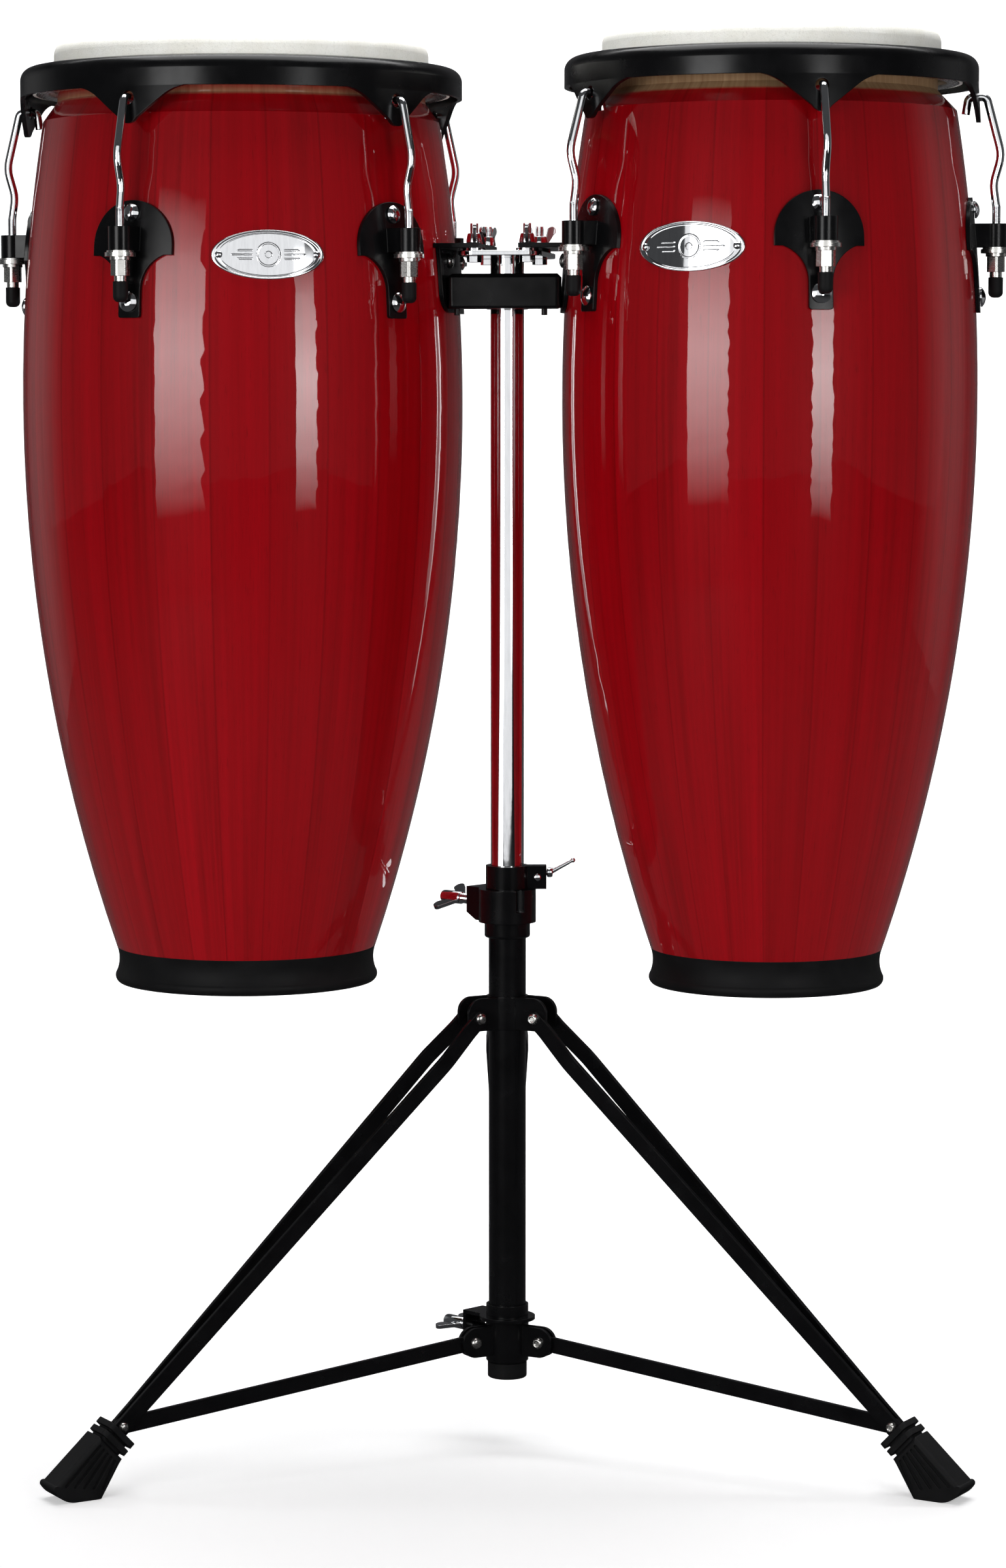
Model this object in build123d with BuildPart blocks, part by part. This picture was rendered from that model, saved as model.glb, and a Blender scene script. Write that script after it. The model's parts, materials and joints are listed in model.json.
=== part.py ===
from build123d import *
import os
from dataclasses import dataclass
from math import asin, atan2, cos, degrees, hypot, radians, sin, sqrt

# A pair of congas on one folding double stand.
# Millimetres. The origin is the floor point under the stand's post, +Z is up,
# +X runs from the large drum to the small one and -Y is the players' side.

# ---- drums: heights are measured up from each drum's own base ----
DRUM_HEIGHT = 711
BELLY_HEIGHT = 438
STAVE_ARC = 1315
SHELL_WALL = 11
STAVE_COUNT = 12
FIRST_SEAM = 3
SEAM_ANGLE = 0.01
SKIN = 2.2
BASE_RING_TOP = 21
BASE_RING_BOTTOM = -6
BASE_RING_FLOOR = 3
BASE_RING_REBATE = 3.5
TAPER_START = 650
TAPER_END = 665
BEARING_TOP = 708.6
BEARING_ROUND = 6
SKIN_SHOULDER = 678
SKIRT_BOTTOM = 670.5
SKIRT_REACH = 16
HOOP_HEIGHT = 6
RIM_TOP = 692
RIM_BOTTOM = 668
RIM_WALL = 3.5
EAR_TIP = 641
EAR_HOLE = 659.5
EAR_HOLE_RADIUS = 5
LUG_ANGLES = [-108, -36, 36, 108, 180]

# ---- tension lugs ----
LUG_TOP = 586
LUG_WIDTH = 66
LUG_HEIGHT = 85.4
LUG_THICK = 3
LUG_SHOULDER = 40
LUG_STEM = 17.7
LUG_SCREW_DROPS = {9.5: 6.5, 74: 7.25}
RECEIVER_TOP = 566.5
RECEIVER_BOTTOM = 549
RECEIVER_RADIUS = 8.7
ROD_STANDOFF = 15
ROD_RADIUS = 3.05
ROD_END = 516
WASHER_STACK = 6.8
NUT_HEIGHT = 11.3
NUT_FLATS = 13
FERRULE = 4
TIP_CAP = 15
BADGE_HEIGHT = 546
BADGE_LENGTH = 83
BADGE_WIDTH = 36
BADGE_SCREW_REACH = 35.8
SCREW_RADIUS = 2.5
SURFACE_GAP = 0.1
FACE_GAP = 0.1

# ---- top of the stand: heights above the floor ----
UPPER_TUBE_RADIUS = 12.7
UPPER_TUBE_WALL = 1.5
UPPER_TUBE_BOTTOM = 150
TOP_PLATE_BOTTOM = 909
TOP_PLATE = (63, 104, 4)
SPACER = 2
FLANGE_THICK = 3.5
FLANGE_INNER_X = 15
FLANGE_WIDTH = 100
PLATE_BOLTS = [(-20, -36), (-20, 36), (20, -36), (20, 36)]
PLATE_BOLT_RADIUS = 3
WALL_PLATE_BOTTOM = 867
WALL_PLATE_WIDTH = 92
BRACKET_SCREWS = [(-28, 905.5), (28, 905.5), (0, 877)]
CROSSBAR_Z = (870, 896)
CROSSBAR_Y = (-44, -14.5)
CROSSBAR_REACH = 56

# ---- lower stand ----
LOWER_TUBE_RADIUS = 14.3
LOWER_TUBE_BORE = 13.1
LOWER_TUBE_BOTTOM = 50.5
LOWER_TUBE_TOP = 403
COLLAR_TOP = 428.5
COLLAR_RADIUS = 22
COLLAR_BOSS_REACH = 34
LOCK_TOP = 446.5
LEG_ANGLES = [98, 218, 338]
LEG_PIVOT = (30, 331)
BRACE_PIVOT = (30, 78)
FOOT_PIVOT = (329, 49)
STRAP_WIDTH = 12
STRAP_THICK = 3
RIVET_RADIUS = 3
HINGE_GAP = 0.08
LEG_TOP_OFFSET = 10.9
LEG_BOW_OFFSET = 15.2
LEG_FOOT_OFFSET = 3.3
LEG_HUB_RADIUS = 16
LEG_HUB_Z = (321, 346)
SPIDER_HUB_RADIUS = 16.5
SPIDER_HUB_Z = (66, 94)
SPIDER_SLEEVE_Z = (61.5, 105.5)
SPIDER_BRACKET_Z = 93.5
SPIDER_EAR_RADIUS = 11.5
HEIGHT_BOLT_ANGLE = 143
SPIDER_BOLT_ANGLE = 143
LOCK_ANGLE = 8
SLOT_ANGLE = 305
HEIGHT_BOLT_Z = 417
SPIDER_BOLT_Z = 82
LOCK_KEY_Z = 441
WING_BOLT_RADIUS = 4
WING_BOLT_HUB = 20

UP = Vector(0, 0, 1)
os.makedirs("parts", exist_ok=True)


def keep(part, name):
    """Label one finished piece and write its STEP file."""
    part.label = name
    export_step(part, f"parts/{name}.step")


def outward(angle):
    """Horizontal unit vector at an angle from +X."""
    return Vector(cos(radians(angle)), sin(radians(angle)), 0)


def upright(angle, centre=(0, 0, 0)):
    """Plane through an upright axis: local x runs outward, local y runs up."""
    out = outward(angle)
    return Plane(origin=centre, x_dir=out, z_dir=out.cross(UP))


def facing(angle, centre=(0, 0, 0)):
    """Plane that faces outward: local x runs sideways, local y runs up."""
    out = outward(angle)
    return Plane(origin=centre, x_dir=UP.cross(out), z_dir=out)


def level(angle, centre=(0, 0, 0)):
    """Level plane: local x runs outward."""
    return Plane(origin=centre, x_dir=outward(angle), z_dir=UP)


@dataclass
class Drum:
    """One conga, upright, with its bracket side facing the post."""

    name: str
    axis_x: float
    base: float
    belly: float
    head: float
    rim: float
    bracket_angle: float
    badge_angle: float

    def centre(self, height=0):
        return (self.axis_x, 0, self.base + height)

    def axis(self):
        return Axis((self.axis_x, 0, 0), (0, 0, 1))

    def lug_angles(self):
        return [self.bracket_angle + angle for angle in LUG_ANGLES]

    def wall(self, height):
        """Outer radius of the staves at a height above the base."""
        drop = STAVE_ARC - sqrt(STAVE_ARC**2 - (height - BELLY_HEIGHT) ** 2)
        return self.belly - drop

    def neck(self):
        """Outer radius of the shell inside the skin's collar."""
        return self.head - SKIN - 0.2

    def rod_radius(self):
        """Distance from the drum's axis to a tension rod's axis."""
        return self.wall((RECEIVER_TOP + RECEIVER_BOTTOM) / 2) + LUG_THICK + ROD_STANDOFF

    def on_wall(self, angle, height, lift=0):
        """Plane that lies on the wall, with its z axis along the wall's normal."""
        slope = (height - BELLY_HEIGHT) / STAVE_ARC
        out = outward(angle)
        normal = out * sqrt(1 - slope**2) + UP * slope
        foot = Vector(*self.centre(height)) + out * self.wall(height)
        return Plane(origin=foot + normal * lift, x_dir=UP.cross(out), z_dir=normal)

    def at_rod(self, angle, height):
        """Level plane centred on a tension rod."""
        centre = Vector(*self.centre(height)) + outward(angle) * self.rod_radius()
        return Plane(origin=centre, x_dir=outward(angle), z_dir=UP)

    def lug_screw_planes(self, drop, lift=0):
        return [self.on_wall(angle, LUG_TOP - drop, lift) for angle in self.lug_angles()]

    def bracket_screw_planes(self, lift=0):
        planes = []
        for sideways, height in BRACKET_SCREWS:
            swing = degrees(atan2(sideways, self.wall(height - self.base)))
            planes.append(self.on_wall(self.bracket_angle + swing, height - self.base, lift))
        return planes

    def badge_screw_planes(self, lift=0):
        swing = degrees(BADGE_SCREW_REACH / self.wall(BADGE_HEIGHT))
        return [self.on_wall(self.badge_angle + side * swing, BADGE_HEIGHT, lift) for side in (-1, 1)]


LARGE = Drum("large", -204, 361, 167.8, 142, 167.6, 0, -72)
SMALL = Drum("small", 199, 366, 155.9, 126.5, 154.6, 180, 252)
DRUMS = [LARGE, SMALL]


def wall_band(drum, low, high, inside, outside):
    """Draw the section of a layer that follows the staves, between two heights."""
    middle = (low + high) / 2
    with BuildLine() as outline:
        ThreePointArc(
            (drum.wall(low) + outside, low),
            (drum.wall(middle) + outside, middle),
            (drum.wall(high) + outside, high),
        )
        Line((drum.wall(high) + outside, high), (drum.wall(high) + inside, high))
        ThreePointArc(
            (drum.wall(high) + inside, high),
            (drum.wall(middle) + inside, middle),
            (drum.wall(low) + inside, low),
        )
        Line((drum.wall(low) + inside, low), (drum.wall(low) + outside, low))
    make_face(outline.edges())


def stave_section(drum):
    """Draw the section of the staves, with a rebate for the base ring at the foot."""
    inner_top = drum.neck() - BEARING_ROUND - 2
    inner_high = drum.wall(TAPER_START - 30) - SHELL_WALL
    inner_low = drum.wall(BASE_RING_FLOOR) - SHELL_WALL
    rebate_low = drum.wall(BASE_RING_FLOOR) - BASE_RING_REBATE
    rebate_high = drum.wall(BASE_RING_TOP) - BASE_RING_REBATE
    round_start = BEARING_TOP - BEARING_ROUND
    with BuildLine() as outline:
        ThreePointArc(
            (drum.wall(BASE_RING_TOP), BASE_RING_TOP),
            (drum.belly, BELLY_HEIGHT),
            (drum.wall(TAPER_START), TAPER_START),
        )
        Polyline(
            (drum.wall(TAPER_START), TAPER_START),
            (drum.neck(), TAPER_END),
            (drum.neck(), round_start),
        )
        RadiusArc(
            (drum.neck(), round_start),
            (drum.neck() - BEARING_ROUND, BEARING_TOP),
            -BEARING_ROUND,
        )
        Line((drum.neck() - BEARING_ROUND, BEARING_TOP), (inner_top, BEARING_TOP))
        Polyline((inner_top, BEARING_TOP), (inner_top, TAPER_END), (inner_high, TAPER_START - 30))
        ThreePointArc(
            (inner_high, TAPER_START - 30),
            (drum.belly - SHELL_WALL, BELLY_HEIGHT),
            (inner_low, BASE_RING_FLOOR),
        )
        Polyline(
            (inner_low, BASE_RING_FLOOR),
            (rebate_low, BASE_RING_FLOOR),
            (rebate_high, BASE_RING_TOP),
            (drum.wall(BASE_RING_TOP), BASE_RING_TOP),
        )
    make_face(outline.edges())


def make_shell(drum):
    """Hollow shell of wide staves, glued at hairline seams that miss every screw."""
    spacing = 360 / STAVE_COUNT
    with BuildPart() as shell:
        for stave in range(STAVE_COUNT):
            seam = drum.bracket_angle + FIRST_SEAM + stave * spacing
            with BuildSketch(upright(seam, drum.centre())):
                stave_section(drum)
            revolve(axis=drum.axis(), revolution_arc=spacing - SEAM_ANGLE)
        for drop in LUG_SCREW_DROPS:
            with BuildSketch(*drum.lug_screw_planes(drop, 2)):
                Circle(SCREW_RADIUS + 0.1)
            extrude(amount=-SHELL_WALL - 6, mode=Mode.SUBTRACT)
        with BuildSketch(*drum.bracket_screw_planes(2)):
            Circle(SCREW_RADIUS + 0.1)
        extrude(amount=-SHELL_WALL - 6, mode=Mode.SUBTRACT)
        with BuildSketch(*drum.badge_screw_planes(2)):
            Circle(1.2)
        extrude(amount=-9, mode=Mode.SUBTRACT)
    keep(shell.part, f"{drum.name}_shell")


def make_head(drum):
    """Skin: a shallow cap with a collar, and a skirt tucked over the flesh hoop."""
    crown = 11
    collar = drum.head - SKIN
    skirt = drum.head + SKIRT_REACH
    inner_round = BEARING_ROUND + 0.2
    round_start = BEARING_TOP - BEARING_ROUND
    inner_top = BEARING_TOP + 0.2
    with BuildPart() as head:
        with BuildSketch(upright(0, drum.centre())):
            with BuildLine():
                Line((0, inner_top), (0, DRUM_HEIGHT))
                Line((0, DRUM_HEIGHT), (drum.head - crown, DRUM_HEIGHT))
                RadiusArc(
                    (drum.head - crown, DRUM_HEIGHT), (drum.head, DRUM_HEIGHT - crown), crown
                )
                Polyline(
                    (drum.head, DRUM_HEIGHT - crown),
                    (drum.head, SKIN_SHOULDER),
                    (skirt, SKIN_SHOULDER),
                    (skirt, SKIRT_BOTTOM),
                    (skirt - SKIN, SKIRT_BOTTOM),
                    (skirt - SKIN, SKIN_SHOULDER - SKIN),
                    (collar, SKIN_SHOULDER - SKIN),
                    (collar, round_start),
                )
                RadiusArc((collar, round_start), (collar - inner_round, inner_top), -inner_round)
                Line((collar - inner_round, inner_top), (0, inner_top))
            make_face()
        revolve(axis=drum.axis())
    keep(head.part, f"{drum.name}_head")


def make_flesh_hoops():
    """The ring inside each skin's skirt that the rim pulls down on."""
    top = SKIN_SHOULDER - SKIN - FACE_GAP
    with BuildPart() as hoops:
        for drum in DRUMS:
            inner = drum.head + 4
            outer = drum.head + SKIRT_REACH - SKIN - FACE_GAP
            with BuildSketch(upright(0, drum.centre())) as section:
                with Locations(((inner + outer) / 2, top - HOOP_HEIGHT / 2)):
                    RectangleRounded(outer - inner, HOOP_HEIGHT, 2)
            revolve(section.sketch, axis=drum.axis())
    keep(hoops.part, "flesh_hoops")


def ear_outline():
    """Draw one hanging ear of the rim: wide at the skirt, rounded at its tip."""
    corner = RIM_BOTTOM + 0.5
    with BuildLine() as outline:
        Polyline((-47, corner), (-47, RIM_BOTTOM + 5), (47, RIM_BOTTOM + 5), (47, corner))
        ThreePointArc((47, corner), (36, RIM_BOTTOM - 2.2), (27, RIM_BOTTOM - 7.5))
        Line((27, RIM_BOTTOM - 7.5), (7, EAR_TIP + 4))
        ThreePointArc((7, EAR_TIP + 4), (0, EAR_TIP), (-7, EAR_TIP + 4))
        Line((-7, EAR_TIP + 4), (-27, RIM_BOTTOM - 7.5))
        ThreePointArc((-27, RIM_BOTTOM - 7.5), (-36, RIM_BOTTOM - 2.2), (-47, corner))
    make_face(outline.edges())


def make_rim(drum):
    """Pressed steel rim: an inner lip on the skin, a sloped top, a skirt and its ears."""
    lip = drum.head + 1.2
    edge = drum.rim
    flare = 1.8
    with BuildPart() as rim:
        with BuildSketch(*[facing(a, drum.centre()).offset(edge - 15) for a in drum.lug_angles()]):
            ear_outline()
        extrude(amount=30)
        with BuildSketch(upright(0, drum.centre())):
            Polygon(
                (edge - RIM_WALL, RIM_BOTTOM + 6),
                (edge, RIM_BOTTOM + 6),
                (edge, RIM_BOTTOM),
                (edge + flare, EAR_TIP - 1),
                (edge + flare - RIM_WALL, EAR_TIP - 1),
                (edge - RIM_WALL, RIM_BOTTOM),
                align=None,
            )
        revolve(axis=drum.axis(), mode=Mode.INTERSECT)
        with BuildSketch(upright(0, drum.centre())):
            with BuildLine():
                Polyline(
                    (lip, SKIN_SHOULDER),
                    (lip, RIM_TOP - 1.5),
                    (lip + 1.5, RIM_TOP),
                    (edge - 10, RIM_TOP - 1.6),
                )
                ThreePointArc(
                    (edge - 10, RIM_TOP - 1.6), (edge - 2.7, RIM_TOP - 4.6), (edge, RIM_TOP - 11)
                )
                Polyline(
                    (edge, RIM_TOP - 11),
                    (edge, RIM_BOTTOM),
                    (edge - RIM_WALL, RIM_BOTTOM),
                    (edge - RIM_WALL, RIM_TOP - 11),
                    (edge - 10, RIM_TOP - 5.2),
                    (lip + 4, RIM_TOP - 4),
                    (lip + 4, SKIN_SHOULDER),
                    (lip, SKIN_SHOULDER),
                )
            make_face()
        revolve(axis=drum.axis())
        with BuildSketch(*[facing(a, drum.centre(EAR_HOLE)).offset(edge - 12) for a in drum.lug_angles()]):
            Circle(EAR_HOLE_RADIUS)
        extrude(amount=24, mode=Mode.SUBTRACT)
    keep(rim.part, f"{drum.name}_rim")


def lug_outline():
    """Draw a lug plate: domed top, stepped shoulders and a narrow stem."""
    half = LUG_WIDTH / 2
    stem = LUG_STEM / 2
    step = 6
    low = LUG_TOP - LUG_HEIGHT
    shoulder = LUG_TOP - LUG_SHOULDER
    stem_top = LUG_TOP - 66
    with BuildLine() as outline:
        Line((-half, shoulder), (-half, LUG_TOP - half))
        ThreePointArc((-half, LUG_TOP - half), (0, LUG_TOP), (half, LUG_TOP - half))
        Polyline((half, LUG_TOP - half), (half, shoulder), (half - step, shoulder))
        ThreePointArc((half - step, shoulder), (stem + 5.2, shoulder - 9.6), (stem, stem_top))
        FilletPolyline((stem, stem_top), (stem, low), (-stem, low), (-stem, stem_top), radius=2)
        ThreePointArc((-stem, stem_top), (-stem - 5.2, shoulder - 9.6), (step - half, shoulder))
        Line((step - half, shoulder), (-half, shoulder))
    make_face(outline.edges())


def make_lug_plates(drum):
    """Five steel plates that follow the shell, each with its rod receiver."""
    receiver_height = RECEIVER_TOP - RECEIVER_BOTTOM
    wall = drum.wall(RECEIVER_BOTTOM)
    reach = drum.rod_radius()
    with BuildPart() as plates:
        with BuildSketch(*[facing(a, drum.centre()).offset(wall - 25) for a in drum.lug_angles()]):
            lug_outline()
        extrude(amount=45)
        with BuildSketch(upright(0, drum.centre())):
            wall_band(drum, LUG_TOP - 95, LUG_TOP + 5, SURFACE_GAP, SURFACE_GAP + LUG_THICK)
        revolve(axis=drum.axis(), mode=Mode.INTERSECT)
        with BuildSketch(*[level(a, drum.centre(RECEIVER_BOTTOM)) for a in drum.lug_angles()]):
            with Locations(((wall + 1 + reach) / 2, 0)):
                Rectangle(reach - wall - 1, 2 * RECEIVER_RADIUS - 2)
            with Locations((reach, 0)):
                Circle(RECEIVER_RADIUS)
        extrude(amount=receiver_height)
        with BuildSketch(*[drum.at_rod(a, RECEIVER_BOTTOM - 1) for a in drum.lug_angles()]):
            Circle(ROD_RADIUS + 0.25)
        extrude(amount=receiver_height + 2, mode=Mode.SUBTRACT)
        for drop in LUG_SCREW_DROPS:
            with BuildSketch(*drum.lug_screw_planes(drop, -1)):
                Circle(SCREW_RADIUS + 0.1)
            extrude(amount=6, mode=Mode.SUBTRACT)
    keep(plates.part, f"{drum.name}_lug_plates")


def dome_screws(planes, head_radius, head_height, shank_radius, shank_length):
    """Add domed screws whose heads stand on the given planes."""
    edge = head_height * 0.3
    rise = head_height - edge
    dome = (head_radius**2 + rise**2) / (2 * rise)
    half_turn = asin(head_radius / dome) / 2
    shoulder = (dome * sin(half_turn), head_height - dome + dome * cos(half_turn))
    for plane in planes:
        with BuildSketch(Plane(origin=plane.origin, x_dir=plane.x_dir, z_dir=plane.y_dir * -1)) as half:
            with BuildLine():
                Polyline(
                    (0, head_height),
                    (0, -shank_length),
                    (shank_radius, -shank_length),
                    (shank_radius, 0),
                    (head_radius, 0),
                    (head_radius, edge),
                )
                ThreePointArc((head_radius, edge), shoulder, (0, head_height))
            make_face()
        revolve(half.sketch, axis=Axis(plane.origin, plane.z_dir))


def make_lug_screws():
    """Domed screws that hold the lug plates on the shells."""
    with BuildPart() as screws:
        for drum in DRUMS:
            for drop, head_radius in LUG_SCREW_DROPS.items():
                planes = drum.lug_screw_planes(drop, LUG_THICK + SURFACE_GAP + 0.25)
                dome_screws(planes, head_radius, 4.2, SCREW_RADIUS, SHELL_WALL + LUG_THICK + 7)
    keep(screws.part, "lug_screws")


def make_bracket_screws():
    """Domed screws that hold the side brackets on the shells."""
    with BuildPart() as screws:
        for drum in DRUMS:
            planes = drum.bracket_screw_planes(LUG_THICK + SURFACE_GAP + 0.25)
            dome_screws(planes, 5.5, 3.2, SCREW_RADIUS, SHELL_WALL + LUG_THICK + 7)
    keep(screws.part, "bracket_screws")


def make_shell_nuts():
    """Washers and nuts on the screws inside both shells."""
    with BuildPart() as nuts:
        for drum in DRUMS:
            planes = drum.bracket_screw_planes(-SHELL_WALL - 0.4)
            for drop in LUG_SCREW_DROPS:
                planes += drum.lug_screw_planes(drop, -SHELL_WALL - 0.4)
            with BuildSketch(*planes):
                Circle(6.5)
                Circle(SCREW_RADIUS + 0.05, mode=Mode.SUBTRACT)
            extrude(amount=-1.2)
            with BuildSketch(*planes):
                RegularPolygon(4, 6, major_radius=False)
                Circle(SCREW_RADIUS + 0.05, mode=Mode.SUBTRACT)
            extrude(amount=-5.2)
    keep(nuts.part, "shell_nuts")


def make_badges():
    """Thin plain oval plates that follow the shells."""
    for drum in DRUMS:
        with BuildPart() as badge:
            with BuildSketch(facing(drum.badge_angle, drum.centre(BADGE_HEIGHT)).offset(drum.belly - 30)):
                Ellipse(BADGE_LENGTH / 2, BADGE_WIDTH / 2)
            extrude(amount=50)
            with BuildSketch(upright(0, drum.centre())):
                wall_band(drum, BADGE_HEIGHT - 30, BADGE_HEIGHT + 30, SURFACE_GAP, SURFACE_GAP + 1.3)
            revolve(axis=drum.axis(), mode=Mode.INTERSECT)
            with BuildSketch(*drum.badge_screw_planes(-2)):
                Circle(1.2)
            extrude(amount=6, mode=Mode.SUBTRACT)
        keep(badge.part, f"{drum.name}_badge")


def make_badge_screws():
    """Small domed screws at the ends of the badges."""
    with BuildPart() as screws:
        for drum in DRUMS:
            dome_screws(drum.badge_screw_planes(1.6), 2.6, 1.6, 1.15, 8)
    keep(screws.part, "badge_screws")


def make_base_ring(drum):
    """Rubber ring round the shell's bottom edge, waisted, with a wider lip."""
    low = drum.wall(BASE_RING_FLOOR) - BASE_RING_REBATE
    high = drum.wall(BASE_RING_TOP) - BASE_RING_REBATE
    edge = drum.wall(BASE_RING_TOP)
    inner = low - 7
    lip = edge + 1.2
    lip_middle = BASE_RING_BOTTOM + 3.4
    lip_top = BASE_RING_BOTTOM + 7.4
    waist = BASE_RING_TOP - 11.5
    with BuildPart() as ring:
        with BuildSketch(upright(0, drum.centre())):
            with BuildLine():
                Polyline(
                    (edge, BASE_RING_TOP),
                    (high, BASE_RING_TOP),
                    (low, BASE_RING_FLOOR),
                    (inner, BASE_RING_FLOOR),
                    (inner, BASE_RING_BOTTOM),
                    (lip - 2, BASE_RING_BOTTOM),
                )
                ThreePointArc((lip - 2, BASE_RING_BOTTOM), (lip, lip_middle), (lip - 1, lip_top))
                ThreePointArc((lip - 1, lip_top), (edge - 1.7, waist), (edge, BASE_RING_TOP))
            make_face()
        revolve(axis=drum.axis())
    keep(ring.part, f"{drum.name}_base_ring")


def make_tension_rods():
    """Hooked rods: over the ear from inside, a wave, then straight down to the thread."""
    with BuildPart() as rods:
        for drum in DRUMS:
            ear = drum.rim - 1.15
            straight = drum.rod_radius()
            for angle in drum.lug_angles():
                with BuildLine(upright(angle, drum.centre())) as path:
                    FilletPolyline(
                        (ear - 8.5, EAR_HOLE - 12.5),
                        (ear - 6.5, EAR_HOLE + 0.3),
                        (ear + 7, EAR_HOLE + 0.3),
                        (straight + 3.5, 617),
                        (straight - 2.5, 596),
                        (straight, 578),
                        (straight, ROD_END),
                        radius=[4.2, 4.8, 25, 25, 40],
                    )
                with BuildSketch(Plane(origin=path.line @ 0, z_dir=path.line % 0)):
                    Circle(ROD_RADIUS)
                sweep(path=path.line)
    keep(rods.part, "tension_rods")


def make_rod_fittings():
    """Washers, nuts and tip caps on the tension rods, from the receiver down."""
    nut_top = RECEIVER_BOTTOM - WASHER_STACK - FACE_GAP
    ferrule_bottom = nut_top - NUT_HEIGHT - FERRULE
    cap_top = ferrule_bottom - FACE_GAP
    bore = ROD_RADIUS + 0.06
    with BuildPart() as washers:
        for drum in DRUMS:
            planes = [drum.at_rod(angle, RECEIVER_BOTTOM) for angle in drum.lug_angles()]
            for top, height, radius in ((0, 1.4, 10), (1.4, 3, 11.3), (4.4, 2.4, 7.6)):
                with BuildSketch(*[plane.offset(-top) for plane in planes]):
                    Circle(radius)
                    Circle(bore, mode=Mode.SUBTRACT)
                extrude(amount=-height)
    keep(washers.part, "tension_washers")

    with BuildPart() as caps:
        for drum in DRUMS:
            planes = [drum.at_rod(angle, cap_top) for angle in drum.lug_angles()]
            with BuildSketch(*planes):
                Circle(5.5)
            extrude(amount=-TIP_CAP)
            with BuildSketch(*planes):
                Circle(ROD_RADIUS)
            extrude(amount=-(cap_top - ROD_END), mode=Mode.SUBTRACT)
        cap_rims = caps.edges().filter_by(GeomType.CIRCLE).filter_by(lambda edge: edge.radius > 5)
        for drum in DRUMS:
            level_z = drum.base + cap_top - TIP_CAP
            fillet(cap_rims.filter_by(lambda edge: abs(edge.center().Z - level_z) < 0.1), 4)
    keep(caps.part, "rod_tip_caps")

    for drum in DRUMS:
        for number, angle in enumerate(drum.lug_angles(), 1):
            with BuildPart() as nut:
                with BuildSketch(drum.at_rod(angle, nut_top)):
                    RegularPolygon(NUT_FLATS / 2, 6, major_radius=False, rotation=7 * number)
                extrude(amount=-NUT_HEIGHT)
                with BuildSketch(drum.at_rod(angle, nut_top)):
                    Circle(NUT_FLATS / 2 + 0.55)
                extrude(amount=-NUT_HEIGHT, mode=Mode.INTERSECT)
                with BuildSketch(drum.at_rod(angle, nut_top - NUT_HEIGHT)):
                    Circle(4.6)
                extrude(amount=-FERRULE)
                with BuildSketch(drum.at_rod(angle, nut_top)):
                    Circle(bore)
                extrude(amount=-NUT_HEIGHT - FERRULE, mode=Mode.SUBTRACT)
            keep(nut.part, f"{drum.name}_tension_nut_{number}")


def make_side_bracket(drum):
    """Steel bracket: a plate bolted to the shell, bent over into a flange."""
    flange_bottom = TOP_PLATE_BOTTOM + TOP_PLATE[2] + SPACER
    flange_top = flange_bottom + FLANGE_THICK
    side = 1 if drum.axis_x > 0 else -1
    wall_x = abs(drum.axis_x) - drum.wall(flange_top - drum.base)
    with BuildPart() as bracket:
        with BuildSketch(facing(drum.bracket_angle, drum.centre(-drum.base)).offset(100)):
            with BuildLine():
                half = WALL_PLATE_WIDTH / 2
                FilletPolyline(
                    (-half, flange_top),
                    (-half, WALL_PLATE_BOTTOM),
                    (half, WALL_PLATE_BOTTOM),
                    (half, flange_top),
                    radius=14,
                )
                Line((half, flange_top), (-half, flange_top))
            make_face()
        extrude(amount=85)
        with BuildSketch(upright(0, drum.centre())):
            low = WALL_PLATE_BOTTOM - drum.base - 5
            high = flange_top - drum.base
            wall_band(drum, low, high + 0.01, SURFACE_GAP, SURFACE_GAP + LUG_THICK)
        revolve(axis=drum.axis(), mode=Mode.INTERSECT)
        with BuildSketch(Plane.XY.offset(flange_bottom)):
            reach = wall_x + 12 - FLANGE_INNER_X
            with Locations((side * (FLANGE_INNER_X + reach / 2), 0)):
                Rectangle(reach, FLANGE_WIDTH)
            with Locations((drum.axis_x, 0)):
                Circle(drum.wall(flange_bottom - drum.base) + SURFACE_GAP, mode=Mode.SUBTRACT)
        extrude(amount=FLANGE_THICK)
        with BuildSketch(Plane.XY.offset(flange_bottom - 1)):
            with Locations(*[p for p in PLATE_BOLTS if p[0] * side > 0]):
                Circle(PLATE_BOLT_RADIUS + 0.3)
        extrude(amount=FLANGE_THICK + 2, mode=Mode.SUBTRACT)
        with BuildSketch(*drum.bracket_screw_planes(-2)):
            Circle(SCREW_RADIUS + 0.1)
        extrude(amount=8, mode=Mode.SUBTRACT)
    keep(bracket.part, f"{drum.name}_side_bracket")


def make_top_plate():
    """Chromed plate on the upper tube that both brackets are bolted to."""
    length, width, thick = TOP_PLATE
    with BuildPart() as plate:
        with BuildSketch(Plane.XY.offset(TOP_PLATE_BOTTOM)):
            RectangleRounded(length, width, 12)
            with Locations(*PLATE_BOLTS):
                Circle(PLATE_BOLT_RADIUS + 0.3, mode=Mode.SUBTRACT)
        extrude(amount=thick)
        fillet(plate.edges().filter_by(Plane.XY).filter_by(lambda edge: edge.length > 15), 0.8)
    keep(plate.part, "top_plate")


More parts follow.
